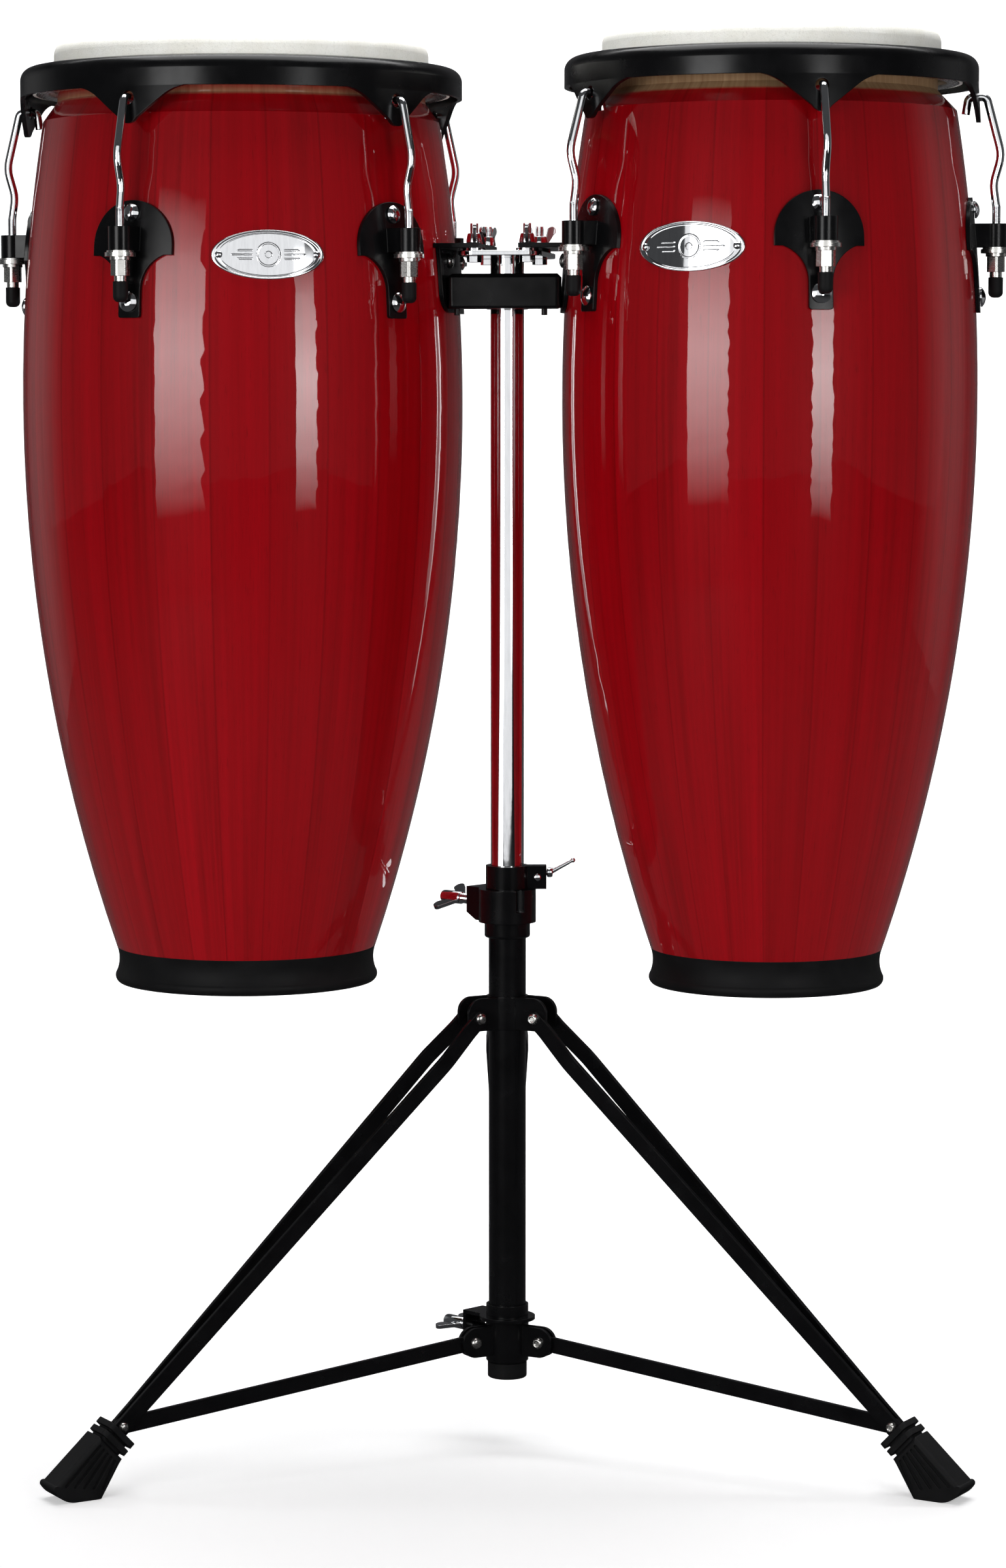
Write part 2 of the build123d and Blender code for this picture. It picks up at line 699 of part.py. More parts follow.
def make_plate_bolts():
    """Hex bolts up through the top plate, with spacers under the flanges."""
    plate_top = TOP_PLATE_BOTTOM + TOP_PLATE[2]
    flange_top = plate_top + SPACER + FLANGE_THICK
    with BuildPart() as bolts:
        with BuildSketch(Plane.XY.offset(TOP_PLATE_BOTTOM - 0.05)):
            with Locations(*PLATE_BOLTS):
                RegularPolygon(5, 6, major_radius=False)
        extrude(amount=-4.5)
        with BuildSketch(Plane.XY.offset(TOP_PLATE_BOTTOM - 0.05)):
            with Locations(*PLATE_BOLTS):
                Circle(PLATE_BOLT_RADIUS)
        extrude(amount=flange_top + 15 - TOP_PLATE_BOTTOM)
        with BuildSketch(Plane.XY.offset(plate_top + 0.02)):
            with Locations(*PLATE_BOLTS):
                Circle(8.5)
                Circle(PLATE_BOLT_RADIUS + 0.1, mode=Mode.SUBTRACT)
        extrude(amount=SPACER - 0.04)
    keep(bolts.part, "plate_bolts")


def wing_pair(span, height, lobe):
    """Draw both wings of a wing nut or bolt, standing on the local x axis."""
    for side in (-1, 1):
        centre_x = side * (span / 2 - lobe)
        Polygon(
            (0, 0),
            (side * span * 0.22, 0),
            (centre_x + side * lobe * 0.95, height - lobe * 1.3),
            (centre_x - side * lobe * 0.95, height - lobe * 0.7),
            (0, height * 0.42),
            align=None,
        )
        with Locations((centre_x, height - lobe)):
            Circle(lobe)


def make_wing_nuts():
    """Wing nuts on the four plate bolts, each turned its own way."""
    flange_top = TOP_PLATE_BOTTOM + TOP_PLATE[2] + SPACER + FLANGE_THICK + FACE_GAP
    turns = (100, 70, 95, 15)
    for number, (place, turn) in enumerate(zip(PLATE_BOLTS, turns), 1):
        foot = (place[0], place[1], flange_top)
        with BuildPart() as nut:
            with BuildSketch(upright(turn, foot)):
                wing_pair(25, 15, 3.4)
            extrude(amount=1.4, both=True)
            with BuildSketch(level(0, foot)):
                Circle(6)
            extrude(amount=7.5, taper=9)
            with BuildSketch(level(0, foot)):
                Circle(PLATE_BOLT_RADIUS + 0.06)
            extrude(amount=16, mode=Mode.SUBTRACT)
        keep(nut.part, f"wing_nut_{number}")


def make_crossbar():
    """Boxed bar in front of the tube, its ends hollowed to the drums' side plates."""
    low, high = CROSSBAR_Z
    front, back = CROSSBAR_Y
    with BuildPart() as bar:
        with BuildSketch(Plane.XY.offset(low)):
            with Locations((0, (front + back) / 2)):
                Rectangle(2 * CROSSBAR_REACH, back - front)
            Circle(UPPER_TUBE_RADIUS + 3)
            for drum in DRUMS:
                with Locations((drum.axis_x, 0)):
                    Circle(drum.wall(low - drum.base) + LUG_THICK + 0.4, mode=Mode.SUBTRACT)
            Circle(UPPER_TUBE_RADIUS + 0.02, mode=Mode.SUBTRACT)
        extrude(amount=high - low)
        fillet(bar.edges().filter_by(Axis.Z).group_by(Axis.Y)[0], 4)
        top_edges = bar.faces().sort_by(Axis.Z)[-1].edges().group_by(Axis.Y)
        chamfer(top_edges[0] + top_edges[1], 3)
        fillet(bar.edges().filter_by(Axis.X).group_by(Axis.Z)[0].sort_by(Axis.Y)[0], 2)
        with BuildSketch(Plane.XY.offset(low)):
            with Locations((-33, front + 8), (33, front + 8)):
                Circle(2.2)
        extrude(amount=-5)
    keep(bar.part, "crossbar")


def make_tubes():
    """The two telescoping tubes, the bush between them and the end cap."""
    with BuildPart() as upper:
        with BuildSketch(Plane.XY.offset(UPPER_TUBE_BOTTOM)):
            Circle(UPPER_TUBE_RADIUS)
            Circle(UPPER_TUBE_RADIUS - UPPER_TUBE_WALL, mode=Mode.SUBTRACT)
        extrude(amount=TOP_PLATE_BOTTOM - UPPER_TUBE_BOTTOM)
    keep(upper.part, "upper_tube")

    with BuildPart() as lower:
        with BuildSketch(Plane.XY.offset(LOWER_TUBE_BOTTOM)):
            Circle(LOWER_TUBE_RADIUS)
            Circle(LOWER_TUBE_BORE, mode=Mode.SUBTRACT)
        extrude(amount=LOWER_TUBE_TOP - LOWER_TUBE_BOTTOM)
    keep(lower.part, "lower_tube")

    with BuildPart() as bush:
        with BuildSketch(Plane.XY.offset(LOWER_TUBE_TOP)):
            Circle(LOWER_TUBE_RADIUS - 0.05)
            Circle(UPPER_TUBE_RADIUS + 0.05, mode=Mode.SUBTRACT)
        extrude(amount=COLLAR_TOP - LOWER_TUBE_TOP - 1)
        with BuildSketch(facing(HEIGHT_BOLT_ANGLE, (0, 0, HEIGHT_BOLT_Z))):
            Circle(WING_BOLT_RADIUS + 0.3)
        extrude(amount=30, mode=Mode.SUBTRACT)
        with BuildSketch(facing(SLOT_ANGLE, (0, 0, COLLAR_TOP))):
            Rectangle(6.5, 33)
        extrude(amount=30, mode=Mode.SUBTRACT)
    keep(bush.part, "tube_bush")

    with BuildPart() as cap:
        with BuildSketch(Plane.XY.offset(LOWER_TUBE_BOTTOM - 2.5)):
            Circle(LOWER_TUBE_RADIUS + 0.8)
        extrude(amount=12)
        fillet(cap.edges().group_by(Axis.Z)[0], 1.5)
        with BuildSketch(Plane.XY.offset(LOWER_TUBE_BOTTOM)):
            Circle(LOWER_TUBE_RADIUS)
        extrude(amount=20, mode=Mode.SUBTRACT)
    keep(cap.part, "tube_end_cap")


def make_height_collar():
    """Cast collar on the lower tube: a boss for the wing bolt and a slot in its wall."""
    boss_width = 21
    sleeve_radius = LOWER_TUBE_RADIUS + 3.2
    with BuildPart() as collar:
        with BuildSketch(Plane.XY.offset(LOWER_TUBE_TOP)):
            Circle(COLLAR_RADIUS)
        extrude(amount=COLLAR_TOP - LOWER_TUBE_TOP)
        with BuildSketch(upright(HEIGHT_BOLT_ANGLE)):
            Polygon(
                (0, COLLAR_TOP),
                (COLLAR_BOSS_REACH, COLLAR_TOP),
                (COLLAR_BOSS_REACH, LOWER_TUBE_TOP + 5.5),
                (COLLAR_BOSS_REACH - 10, LOWER_TUBE_TOP),
                (0, LOWER_TUBE_TOP),
                align=None,
            )
        extrude(amount=boss_width / 2, both=True)
        with BuildSketch(Plane.XY.offset(LOWER_TUBE_TOP - 12)):
            Circle(sleeve_radius)
        extrude(amount=12)
        fillet(collar.edges().group_by(Axis.Z)[0], 2)
        with BuildSketch(Plane.XY.offset(LOWER_TUBE_TOP - 13)):
            Circle(LOWER_TUBE_RADIUS)
        extrude(amount=60, mode=Mode.SUBTRACT)
        with BuildSketch(facing(HEIGHT_BOLT_ANGLE, (0, 0, HEIGHT_BOLT_Z))):
            Circle(WING_BOLT_RADIUS + 0.05)
        extrude(amount=COLLAR_BOSS_REACH + 5, mode=Mode.SUBTRACT)
        with BuildSketch(facing(SLOT_ANGLE, (0, 0, COLLAR_TOP))):
            Rectangle(6.5, 33)
        extrude(amount=30, mode=Mode.SUBTRACT)
    keep(collar.part, "height_collar")


def make_wing_bolt(name, angle, height, tip, hub_start, roll):
    """Wing bolt that points at the post, from its tip radius out to its hub and wings."""
    out = outward(angle)
    foot = out * tip + UP * height
    hub = out * hub_start + UP * height
    span = UP.cross(out) * cos(radians(roll)) - UP * sin(radians(roll))
    with BuildPart() as bolt:
        with BuildSketch(facing(angle, foot)):
            Circle(WING_BOLT_RADIUS)
        extrude(amount=hub_start + 1 - tip)
        with BuildSketch(facing(angle, hub)):
            Circle(4.9)
        extrude(amount=WING_BOLT_HUB)
        with BuildSketch(Plane(origin=hub, x_dir=span, z_dir=span.cross(out))):
            wing_pair(34, 18, 4.5)
        extrude(amount=1.5, both=True)
    keep(bolt.part, name)


def make_memory_lock():
    """Ring that rests on the height collar, with a square ear for its key."""
    bottom = COLLAR_TOP + 0.2
    height = LOCK_TOP - bottom
    with BuildPart() as lock:
        with BuildSketch(Plane.XY.offset(bottom)):
            Circle(UPPER_TUBE_RADIUS + 3.8)
        extrude(amount=height)
        with BuildSketch(upright(LOCK_ANGLE, (0, 0, (bottom + LOCK_TOP) / 2))):
            with Locations((19, 0)):
                Rectangle(22, height)
        extrude(amount=6, both=True)
        with BuildSketch(Plane.XY.offset(bottom)):
            Circle(UPPER_TUBE_RADIUS + 0.06)
        extrude(amount=height, mode=Mode.SUBTRACT)
        with BuildSketch(facing(LOCK_ANGLE, (0, 0, LOCK_KEY_Z))):
            Circle(2.56)
        extrude(amount=40, mode=Mode.SUBTRACT)
    keep(lock.part, "memory_lock")

    key_start = UPPER_TUBE_RADIUS + 0.4
    key_reach = 33.5
    key_seat = outward(LOCK_ANGLE) * key_start + UP * LOCK_KEY_Z
    key_end = outward(LOCK_ANGLE) * key_reach + UP * LOCK_KEY_Z
    lever_tip = outward(LOCK_ANGLE) * 52 + UP * (LOCK_KEY_Z + 10.5)
    with BuildPart() as key:
        with BuildSketch(facing(LOCK_ANGLE, key_seat)):
            Circle(2.5)
        extrude(amount=key_reach - key_start)
        with BuildSketch(Plane(origin=key_end - outward(LOCK_ANGLE) * 1.5, z_dir=lever_tip - key_end)):
            Circle(1.6)
        extrude(amount=(lever_tip - key_end).length)
    keep(key.part, "memory_key")


def strap_angle():
    """Angle of a leg from straight down."""
    return atan2(FOOT_PIVOT[0] - LEG_PIVOT[0], LEG_PIVOT[1] - FOOT_PIVOT[1])


def leg_length():
    return hypot(FOOT_PIVOT[0] - LEG_PIVOT[0], LEG_PIVOT[1] - FOOT_PIVOT[1])


def down_leg(angle):
    """Unit vector down a leg."""
    return outward(angle) * sin(strap_angle()) - UP * cos(strap_angle())


def at_pivot(angle, pivot):
    return outward(angle) * pivot[0] + UP * pivot[1]


def make_leg_collar():
    """Hub on the lower tube with a pair of ears for each leg."""
    bottom, top = LEG_HUB_Z
    with BuildPart() as collar:
        with BuildSketch(Plane.XY.offset(bottom)):
            Circle(LEG_HUB_RADIUS)
        extrude(amount=top - bottom)
        for angle in LEG_ANGLES:
            for offset in (6.4, -9):
                with BuildSketch(upright(angle).offset(offset)):
                    with BuildLine():
                        FilletPolyline(
                            (9, top), (LEG_PIVOT[0] + 9, top), (LEG_PIVOT[0] + 9, bottom), (9, bottom),
                            radius=[11, 7],
                        )
                        Line((9, bottom), (9, top))
                    make_face()
                extrude(amount=2.6)
            with BuildSketch(upright(angle, at_pivot(angle, LEG_PIVOT))):
                Circle(RIVET_RADIUS + HINGE_GAP)
            extrude(amount=12, both=True, mode=Mode.SUBTRACT)
        with BuildSketch(Plane.XY.offset(bottom - 1)):
            Circle(LOWER_TUBE_RADIUS)
        extrude(amount=top - bottom + 2, mode=Mode.SUBTRACT)
    keep(collar.part, "leg_collar")


def rivet(plane, inner, outer, head_radius=4.4, head_height=2.2):
    """Add a rivet stub between two offsets from a plane, with a domed outer head."""
    side = 1 if outer > 0 else -1
    with BuildSketch(plane.offset(inner)) as shank:
        Circle(RIVET_RADIUS)
    extrude(shank.sketch, amount=outer - inner + side * 0.05)
    with BuildSketch(plane.offset(outer + side * 0.05)) as head:
        Circle(head_radius)
    extrude(head.sketch, amount=side * head_height, taper=25)


def make_legs():
    """Two straps per leg that straddle the collar's ears and close on the brace."""
    length = leg_length()
    half = STRAP_THICK / 2
    for number, angle in enumerate(LEG_ANGLES, 1):
        top = at_pivot(angle, LEG_PIVOT)
        foot = at_pivot(angle, FOOT_PIVOT)
        sideways = UP.cross(outward(angle))
        down = down_leg(angle)
        with BuildPart() as leg:
            with BuildSketch(Plane(origin=top, x_dir=down, z_dir=down.cross(sideways))) as straps:
                for side in (-1, 1):
                    with BuildLine() as run:
                        FilletPolyline(
                            (-10, side * LEG_TOP_OFFSET),
                            (13, side * LEG_TOP_OFFSET),
                            (44, side * LEG_BOW_OFFSET),
                            (length - 16, side * LEG_FOOT_OFFSET),
                            (length + 22, side * LEG_FOOT_OFFSET),
                            radius=[40, 60, 60],
                        )
                    trace(run.line, line_width=STRAP_THICK)
            extrude(amount=STRAP_WIDTH / 2 + 1, both=True)
            with BuildSketch(Plane(origin=top, x_dir=down, z_dir=sideways)):
                Circle(STRAP_WIDTH / 2)
                with Locations(((length + 21) / 2, 0)):
                    Rectangle(length + 21, STRAP_WIDTH)
            extrude(amount=30, both=True, mode=Mode.INTERSECT)
            for place in (top, foot):
                with BuildSketch(Plane(origin=place, x_dir=down, z_dir=sideways)):
                    Circle(RIVET_RADIUS + 0.05)
                extrude(amount=30, both=True, mode=Mode.SUBTRACT)
            foot_plane = Plane(origin=foot, x_dir=down, z_dir=sideways)
            top_plane = Plane(origin=top, x_dir=down, z_dir=sideways)
            rivet(foot_plane, 0, LEG_FOOT_OFFSET + half, head_radius=3.9)
            rivet(foot_plane, 0, -LEG_FOOT_OFFSET - half, head_radius=3.9)
            rivet(top_plane, LEG_TOP_OFFSET - half, LEG_TOP_OFFSET + half)
            rivet(top_plane, half - LEG_TOP_OFFSET, -LEG_TOP_OFFSET - half)
        keep(leg.part, f"leg_{number}")


def make_braces():
    """Single straps from the spider's ears to the foot rivets."""
    run = Vector(FOOT_PIVOT[0] - BRACE_PIVOT[0], FOOT_PIVOT[1] - BRACE_PIVOT[1])
    for number, angle in enumerate(LEG_ANGLES, 1):
        start = at_pivot(angle, BRACE_PIVOT)
        end = at_pivot(angle, FOOT_PIVOT)
        middle = (start + end) * 0.5
        sideways = UP.cross(outward(angle))
        with BuildPart() as brace:
            with BuildSketch(Plane(origin=middle, x_dir=end - start, z_dir=sideways)):
                SlotCenterToCenter(run.length, STRAP_WIDTH)
                with Locations((-run.length / 2, 0), (run.length / 2, 0)):
                    Circle(RIVET_RADIUS + HINGE_GAP, mode=Mode.SUBTRACT)
            extrude(amount=STRAP_THICK / 2, both=True)
        keep(brace.part, f"brace_{number}")


def make_spider():
    """Sliding lower hub: ears for the braces, a top bracket and the wing bolt's tab."""
    inner, outer = 1.9, 4.4
    tab = 36.5
    tab_width = 21.5
    with BuildPart() as spider:
        for (bottom, top), radius in (
            (SPIDER_HUB_Z, SPIDER_HUB_RADIUS),
            (SPIDER_SLEEVE_Z, LOWER_TUBE_RADIUS + 2),
        ):
            with BuildSketch(Plane.XY.offset(bottom)):
                Circle(radius)
            extrude(amount=top - bottom)
        for angle in LEG_ANGLES:
            for offset in (inner, -outer):
                with BuildSketch(upright(angle).offset(offset)):
                    with Locations(BRACE_PIVOT):
                        Circle(SPIDER_EAR_RADIUS)
                    with Locations((BRACE_PIVOT[0] - 8, BRACE_PIVOT[1])):
                        Rectangle(16, 2 * SPIDER_EAR_RADIUS)
                extrude(amount=outer - inner)
            with BuildSketch(upright(angle, at_pivot(angle, BRACE_PIVOT))):
                Circle(RIVET_RADIUS + 0.05)
            extrude(amount=12, both=True, mode=Mode.SUBTRACT)
        with BuildSketch(level(SPIDER_BOLT_ANGLE, (0, 0, SPIDER_BRACKET_Z))):
            Circle(21.5)
            with Locations((tab / 2 + 0.75, 0)):
                Rectangle(tab + 1.5, tab_width)
        extrude(amount=2.6)
        with BuildSketch(facing(SPIDER_BOLT_ANGLE, (0, 0, SPIDER_BOLT_Z)).offset(tab - 1.5)):
            RectangleRounded(tab_width, 26, 3)
        extrude(amount=3)
        with BuildSketch(Plane.XY.offset(60)):
            Circle(LOWER_TUBE_RADIUS + HINGE_GAP)
        extrude(amount=60, mode=Mode.SUBTRACT)
        with BuildSketch(facing(SPIDER_BOLT_ANGLE, (0, 0, SPIDER_BOLT_Z))):
            Circle(WING_BOLT_RADIUS + 0.05)
        extrude(amount=60, mode=Mode.SUBTRACT)
    keep(spider.part, "spider")

    with BuildPart() as rivets:
        for angle in LEG_ANGLES:
            plane = upright(angle, at_pivot(angle, BRACE_PIVOT))
            rivet(plane, 0, outer)
            rivet(plane, 0, -outer)
    keep(rivets.part, "spider_rivets")


def make_feet():
    """Rubber feet: two flanges, a flared body with fanned flutes and a sole that rolls up."""
    tilt = strap_angle()
    half = 13
    flute_count = 5

    def floor_reach(lift):
        """How far down the leg the floor is, at an offset across the leg."""
        return (FOOT_PIVOT[1] + lift * sin(tilt)) / cos(tilt)

    for number, angle in enumerate(LEG_ANGLES, 1):
        pivot = at_pivot(angle, FOOT_PIVOT)
        sideways = UP.cross(outward(angle))
        down = down_leg(angle)
        side_plane = Plane(origin=pivot, x_dir=down, z_dir=sideways * -1)
        with BuildPart() as foot:
            with BuildSketch(side_plane):
                with BuildLine():
                    Polyline(
                        (18, half),
                        (18, -half),
                        (22, -half - 0.8),
                        (floor_reach(-21.5), -21.5),
                        (floor_reach(-7), -7),
                    )
                    TangentArc((floor_reach(-7), -7), (70, 12), tangent=(sin(tilt), cos(tilt)))
                    ThreePointArc((70, 12), (68.9, half + 0.9), (66, half + 1))
                    Line((66, half + 1), (18, half))
                make_face()
            extrude(amount=half, both=True)
            long_edges = foot.edges().filter_by(lambda edge: edge.length > 24)
            fillet(long_edges.filter_by(lambda edge: abs(edge.tangent_at(0.5).dot(sideways)) < 0.5), 3.5)
            for start, end, width in ((4, 8.5, 26.5), (8.5, 11, 20.5), (11, 15.5, 26.5), (15.5, 18.5, 21)):
                with BuildSketch(Plane(origin=pivot + down * start, x_dir=sideways, z_dir=down)):
                    RectangleRounded(width, width, 4.5)
                extrude(amount=end - start)
            with BuildSketch(side_plane):
                with Locations((15.5, 0)):
                    Rectangle(23.5, STRAP_WIDTH + 1.2)
            extrude(amount=LEG_FOOT_OFFSET + STRAP_THICK / 2 + 0.1, both=True, mode=Mode.SUBTRACT)
            for side in (-1, 1):
                with BuildSketch(side_plane.offset(side * (half - 1.3))):
                    for flute in range(flute_count):
                        start = Vector(23.5, -8.6 + 4.3 * flute)
                        end = Vector(43.5 + 4.4 * flute, -16.4 + 6.1 * flute)
                        SlotCenterPoint((start + end) * 0.5, end, 2.3)
                extrude(amount=side * 5, mode=Mode.SUBTRACT)
        keep(foot.part, f"foot_{number}")


for drum in DRUMS:
    make_shell(drum)
    make_head(drum)
    make_rim(drum)
    make_lug_plates(drum)
    make_base_ring(drum)
    make_side_bracket(drum)
make_flesh_hoops()
make_lug_screws()
make_bracket_screws()
make_shell_nuts()
make_badges()
make_badge_screws()
make_tension_rods()
make_rod_fittings()
make_top_plate()
make_plate_bolts()
make_wing_nuts()
make_crossbar()
make_tubes()
make_height_collar()
make_wing_bolt("height_wing_bolt", HEIGHT_BOLT_ANGLE, HEIGHT_BOLT_Z, 13, 50, 27)
make_memory_lock()
make_leg_collar()
make_legs()
make_braces()
make_spider()
make_wing_bolt("spider_wing_bolt", SPIDER_BOLT_ANGLE, SPIDER_BOLT_Z, 14.6, 47, 8)
make_feet()
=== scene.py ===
"""Looks for the pair of congas on their folding stand.

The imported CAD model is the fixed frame. Small parts that need finer shape, such as
threads, wing nuts, rivet heads and the badges, are built here and ride on its bodies.
"""

import json
import math

import bmesh
import bpy
from mathutils import Matrix, Vector

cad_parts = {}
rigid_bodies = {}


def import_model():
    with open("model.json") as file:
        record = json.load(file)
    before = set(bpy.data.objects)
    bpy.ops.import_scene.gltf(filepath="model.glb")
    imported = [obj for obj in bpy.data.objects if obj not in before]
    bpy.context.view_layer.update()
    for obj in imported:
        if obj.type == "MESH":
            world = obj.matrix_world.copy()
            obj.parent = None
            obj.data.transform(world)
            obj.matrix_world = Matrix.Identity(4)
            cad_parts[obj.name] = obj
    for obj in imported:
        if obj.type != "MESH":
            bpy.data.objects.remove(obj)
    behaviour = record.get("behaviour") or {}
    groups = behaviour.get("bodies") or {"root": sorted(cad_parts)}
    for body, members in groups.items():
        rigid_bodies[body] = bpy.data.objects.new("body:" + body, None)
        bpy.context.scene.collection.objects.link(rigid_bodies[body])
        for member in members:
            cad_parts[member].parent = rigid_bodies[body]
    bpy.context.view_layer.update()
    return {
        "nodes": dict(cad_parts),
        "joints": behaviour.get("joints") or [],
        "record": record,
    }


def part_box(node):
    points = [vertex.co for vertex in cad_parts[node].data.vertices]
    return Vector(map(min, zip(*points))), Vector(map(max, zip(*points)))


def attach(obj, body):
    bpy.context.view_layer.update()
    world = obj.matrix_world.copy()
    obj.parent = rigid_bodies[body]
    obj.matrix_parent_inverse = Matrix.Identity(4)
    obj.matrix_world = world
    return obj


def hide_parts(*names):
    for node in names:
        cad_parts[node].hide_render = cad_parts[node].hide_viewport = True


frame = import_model()

MM = 0.001
UP = Vector((0, 0, 1))

# The shells: heights are above the drum's base plane, just under the shell's lower edge.
# The belly is the widest place, and the arc is the radius to which the staves are bent.
BASE_BELOW_SHELL = 3 * MM
BELLY_HEIGHT = 0.438
STAVE_ARC = 1.315
STAVES = 24
FIRST_SEAM = math.radians(3)
WALL_THICKNESS = 7.5 * MM
RECEIVER_TOP = 0.5665
LUGS = 5

# The badges: where each sits round its drum, in degrees, its middle above the base plane,
# its half sizes, and how far its parts stand off the shell, in millimetres.
BADGE_ANGLES = {"large": -72, "small": 252}
BADGE_HEIGHT = 0.546
BADGE_HALF_LONG = 41.5 * MM
BADGE_HALF_SHORT = 18 * MM
PLATE_LEVEL, LINE_LEVEL, BAR_LEVEL, RING_LEVEL, BEAD_RISE = 1.15, 1.33, 1.38, 1.42, 0.55

# The stand: the legs' hinge line above the floor, and each wing nut's turn in degrees.
LEGS = 3
LEG_TOP_Z = 0.331
WING_NUT_TURNS = (100, 70, 95, 15)
WING_NUT_REACH = 12.5 * MM

# The studio: how softly the softboxes fade, and the camera in degrees and metres, with
# its lens and sensor in millimetres.
FEATHER = 1.3
CAMERA_AZIMUTH, CAMERA_PITCH = 8, 5.3
CAMERA_DISTANCE, CAMERA_HEIGHT, CAMERA_SHIFT = 3.24, 0.8095, 0.0033
CAMERA_LENS, CAMERA_SENSOR = 97.6, 36


# ---------------------------------------------------------------- places in the frame


class Drum:
    """Sizes of one conga, taken from its CAD nodes."""

    def __init__(self, name):
        self.name = name
        self.badge_angle = BADGE_ANGLES[name]
        shell_low, shell_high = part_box(f"{name}_shell")
        self.x = (shell_low.x + shell_high.x) / 2
        self.base = shell_low.z - BASE_BELOW_SHELL
        self.belly = (shell_high.x - shell_low.x) / 2

    def wall(self, height):
        drop = STAVE_ARC - math.sqrt(STAVE_ARC**2 - (height - BELLY_HEIGHT) ** 2)
        return self.belly - drop

    def on_wall(self, angle, height, lift):
        """Point at a height above the base, lifted along the wall's normal."""
        slope = (height - BELLY_HEIGHT) / STAVE_ARC
        out = outward(angle)
        normal = out * math.sqrt(1 - slope**2) + UP * slope
        middle_line = Vector((self.x, 0, self.base + height))
        return middle_line + out * self.wall(height) + normal * lift

    def rod(self, number):
        """Where a tension rod's straight end stands, from its nut's place."""
        low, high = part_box(f"{self.name}_tension_nut_{number}")
        return (low.x + high.x) / 2, (low.y + high.y) / 2


def outward(angle):
    turn = math.radians(angle)
    return Vector((math.cos(turn), math.sin(turn), 0))


def joint_line(name):
    """Point and direction of a joint's axis."""
    joint = next(row for row in frame["joints"] if row["name"] == name)
    return Vector(joint["pos_m"]), Vector(joint["axis"])


def middle(node):
    low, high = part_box(node)
    return (low + high) / 2


DRUMS = [Drum(name) for name in BADGE_ANGLES]


# ---------------------------------------------------------------- shader helpers


class Graph:
    """One material's node tree, with short calls for the nodes used here."""

    def __init__(self, name):
        self.material = bpy.data.materials.new(name)
        self.material.use_nodes = True
        self.tree = self.material.node_tree
        self.tree.nodes.clear()
        self.shader = self.node("ShaderNodeBsdfPrincipled")
        self.output = self.node("ShaderNodeOutputMaterial")
        self.tree.links.new(self.shader.outputs[0], self.output.inputs["Surface"])
        self.place = self.node("ShaderNodeTexCoord").outputs["Object"]

    def node(self, kind, **settings):
        made = self.tree.nodes.new(kind)
        for key, value in settings.items():
            setattr(made, key, value)
        return made

    def feed(self, socket, value):
        if isinstance(value, bpy.types.NodeSocket):
            self.tree.links.new(value, socket)
        else:
            socket.default_value = value

    def set(self, **values):
        for key, value in values.items():
            self.feed(self.shader.inputs[key.replace("_", " ")], value)

    def math(self, operation, first, second=0.0, clamp=False):
        made = self.node("ShaderNodeMath", operation=operation, use_clamp=clamp)
        self.feed(made.inputs[0], first)
        self.feed(made.inputs[1], second)
        return made.outputs[0]

    def split(self, vector):
        made = self.node("ShaderNodeSeparateXYZ")
        self.feed(made.inputs[0], vector)
        return made.outputs[0], made.outputs[1], made.outputs[2]

    def join(self, x, y, z):
        made = self.node("ShaderNodeCombineXYZ")
        for socket, value in zip(made.inputs, (x, y, z)):
            self.feed(socket, value)
        return made.outputs[0]

    def scaled(self, vector, x, y, z):
        made = self.node("ShaderNodeVectorMath", operation="MULTIPLY")
        self.feed(made.inputs[0], vector)
        made.inputs[1].default_value = (x, y, z)
        return made.outputs[0]

    def noise(self, vector, scale, detail, roughness):
        made = self.node("ShaderNodeTexNoise")
        self.feed(made.inputs["Vector"], vector)
        made.inputs["Scale"].default_value = scale
        made.inputs["Detail"].default_value = detail
        made.inputs["Roughness"].default_value = roughness
        return made.outputs["Fac"]

    def spread(self, value, low, high, to_low, to_high):
        made = self.node("ShaderNodeMapRange", clamp=True)
        keys = ("Value", "From Min", "From Max", "To Min", "To Max")
        for key, amount in zip(keys, (value, low, high, to_low, to_high)):
            self.feed(made.inputs[key], amount)
        return made.outputs["Result"]

    def mix(self, share, first, second):
        made = self.node("ShaderNodeMix", data_type="RGBA")
        self.feed(made.inputs[0], share)
        self.feed(made.inputs[6], first)
        self.feed(made.inputs[7], second)
        return made.outputs[2]

    def bump(self, height, distance, strength, under=None):
        made = self.node("ShaderNodeBump")
        self.feed(made.inputs["Height"], height)
        made.inputs["Distance"].default_value = distance
        made.inputs["Strength"].default_value = strength
        if under is not None:
            self.feed(made.inputs["Normal"], under)
        return made.outputs["Normal"]

    def rounded(self, radius, samples):
        """Normal that softens sharp edges, as a bevel of this radius would."""
        made = self.node("ShaderNodeBevel", samples=samples)
        made.inputs["Radius"].default_value = radius
        return made.outputs[0]


def rgb(red, green, blue):
    return (red, green, blue, 1.0)


# ---------------------------------------------------------------- materials


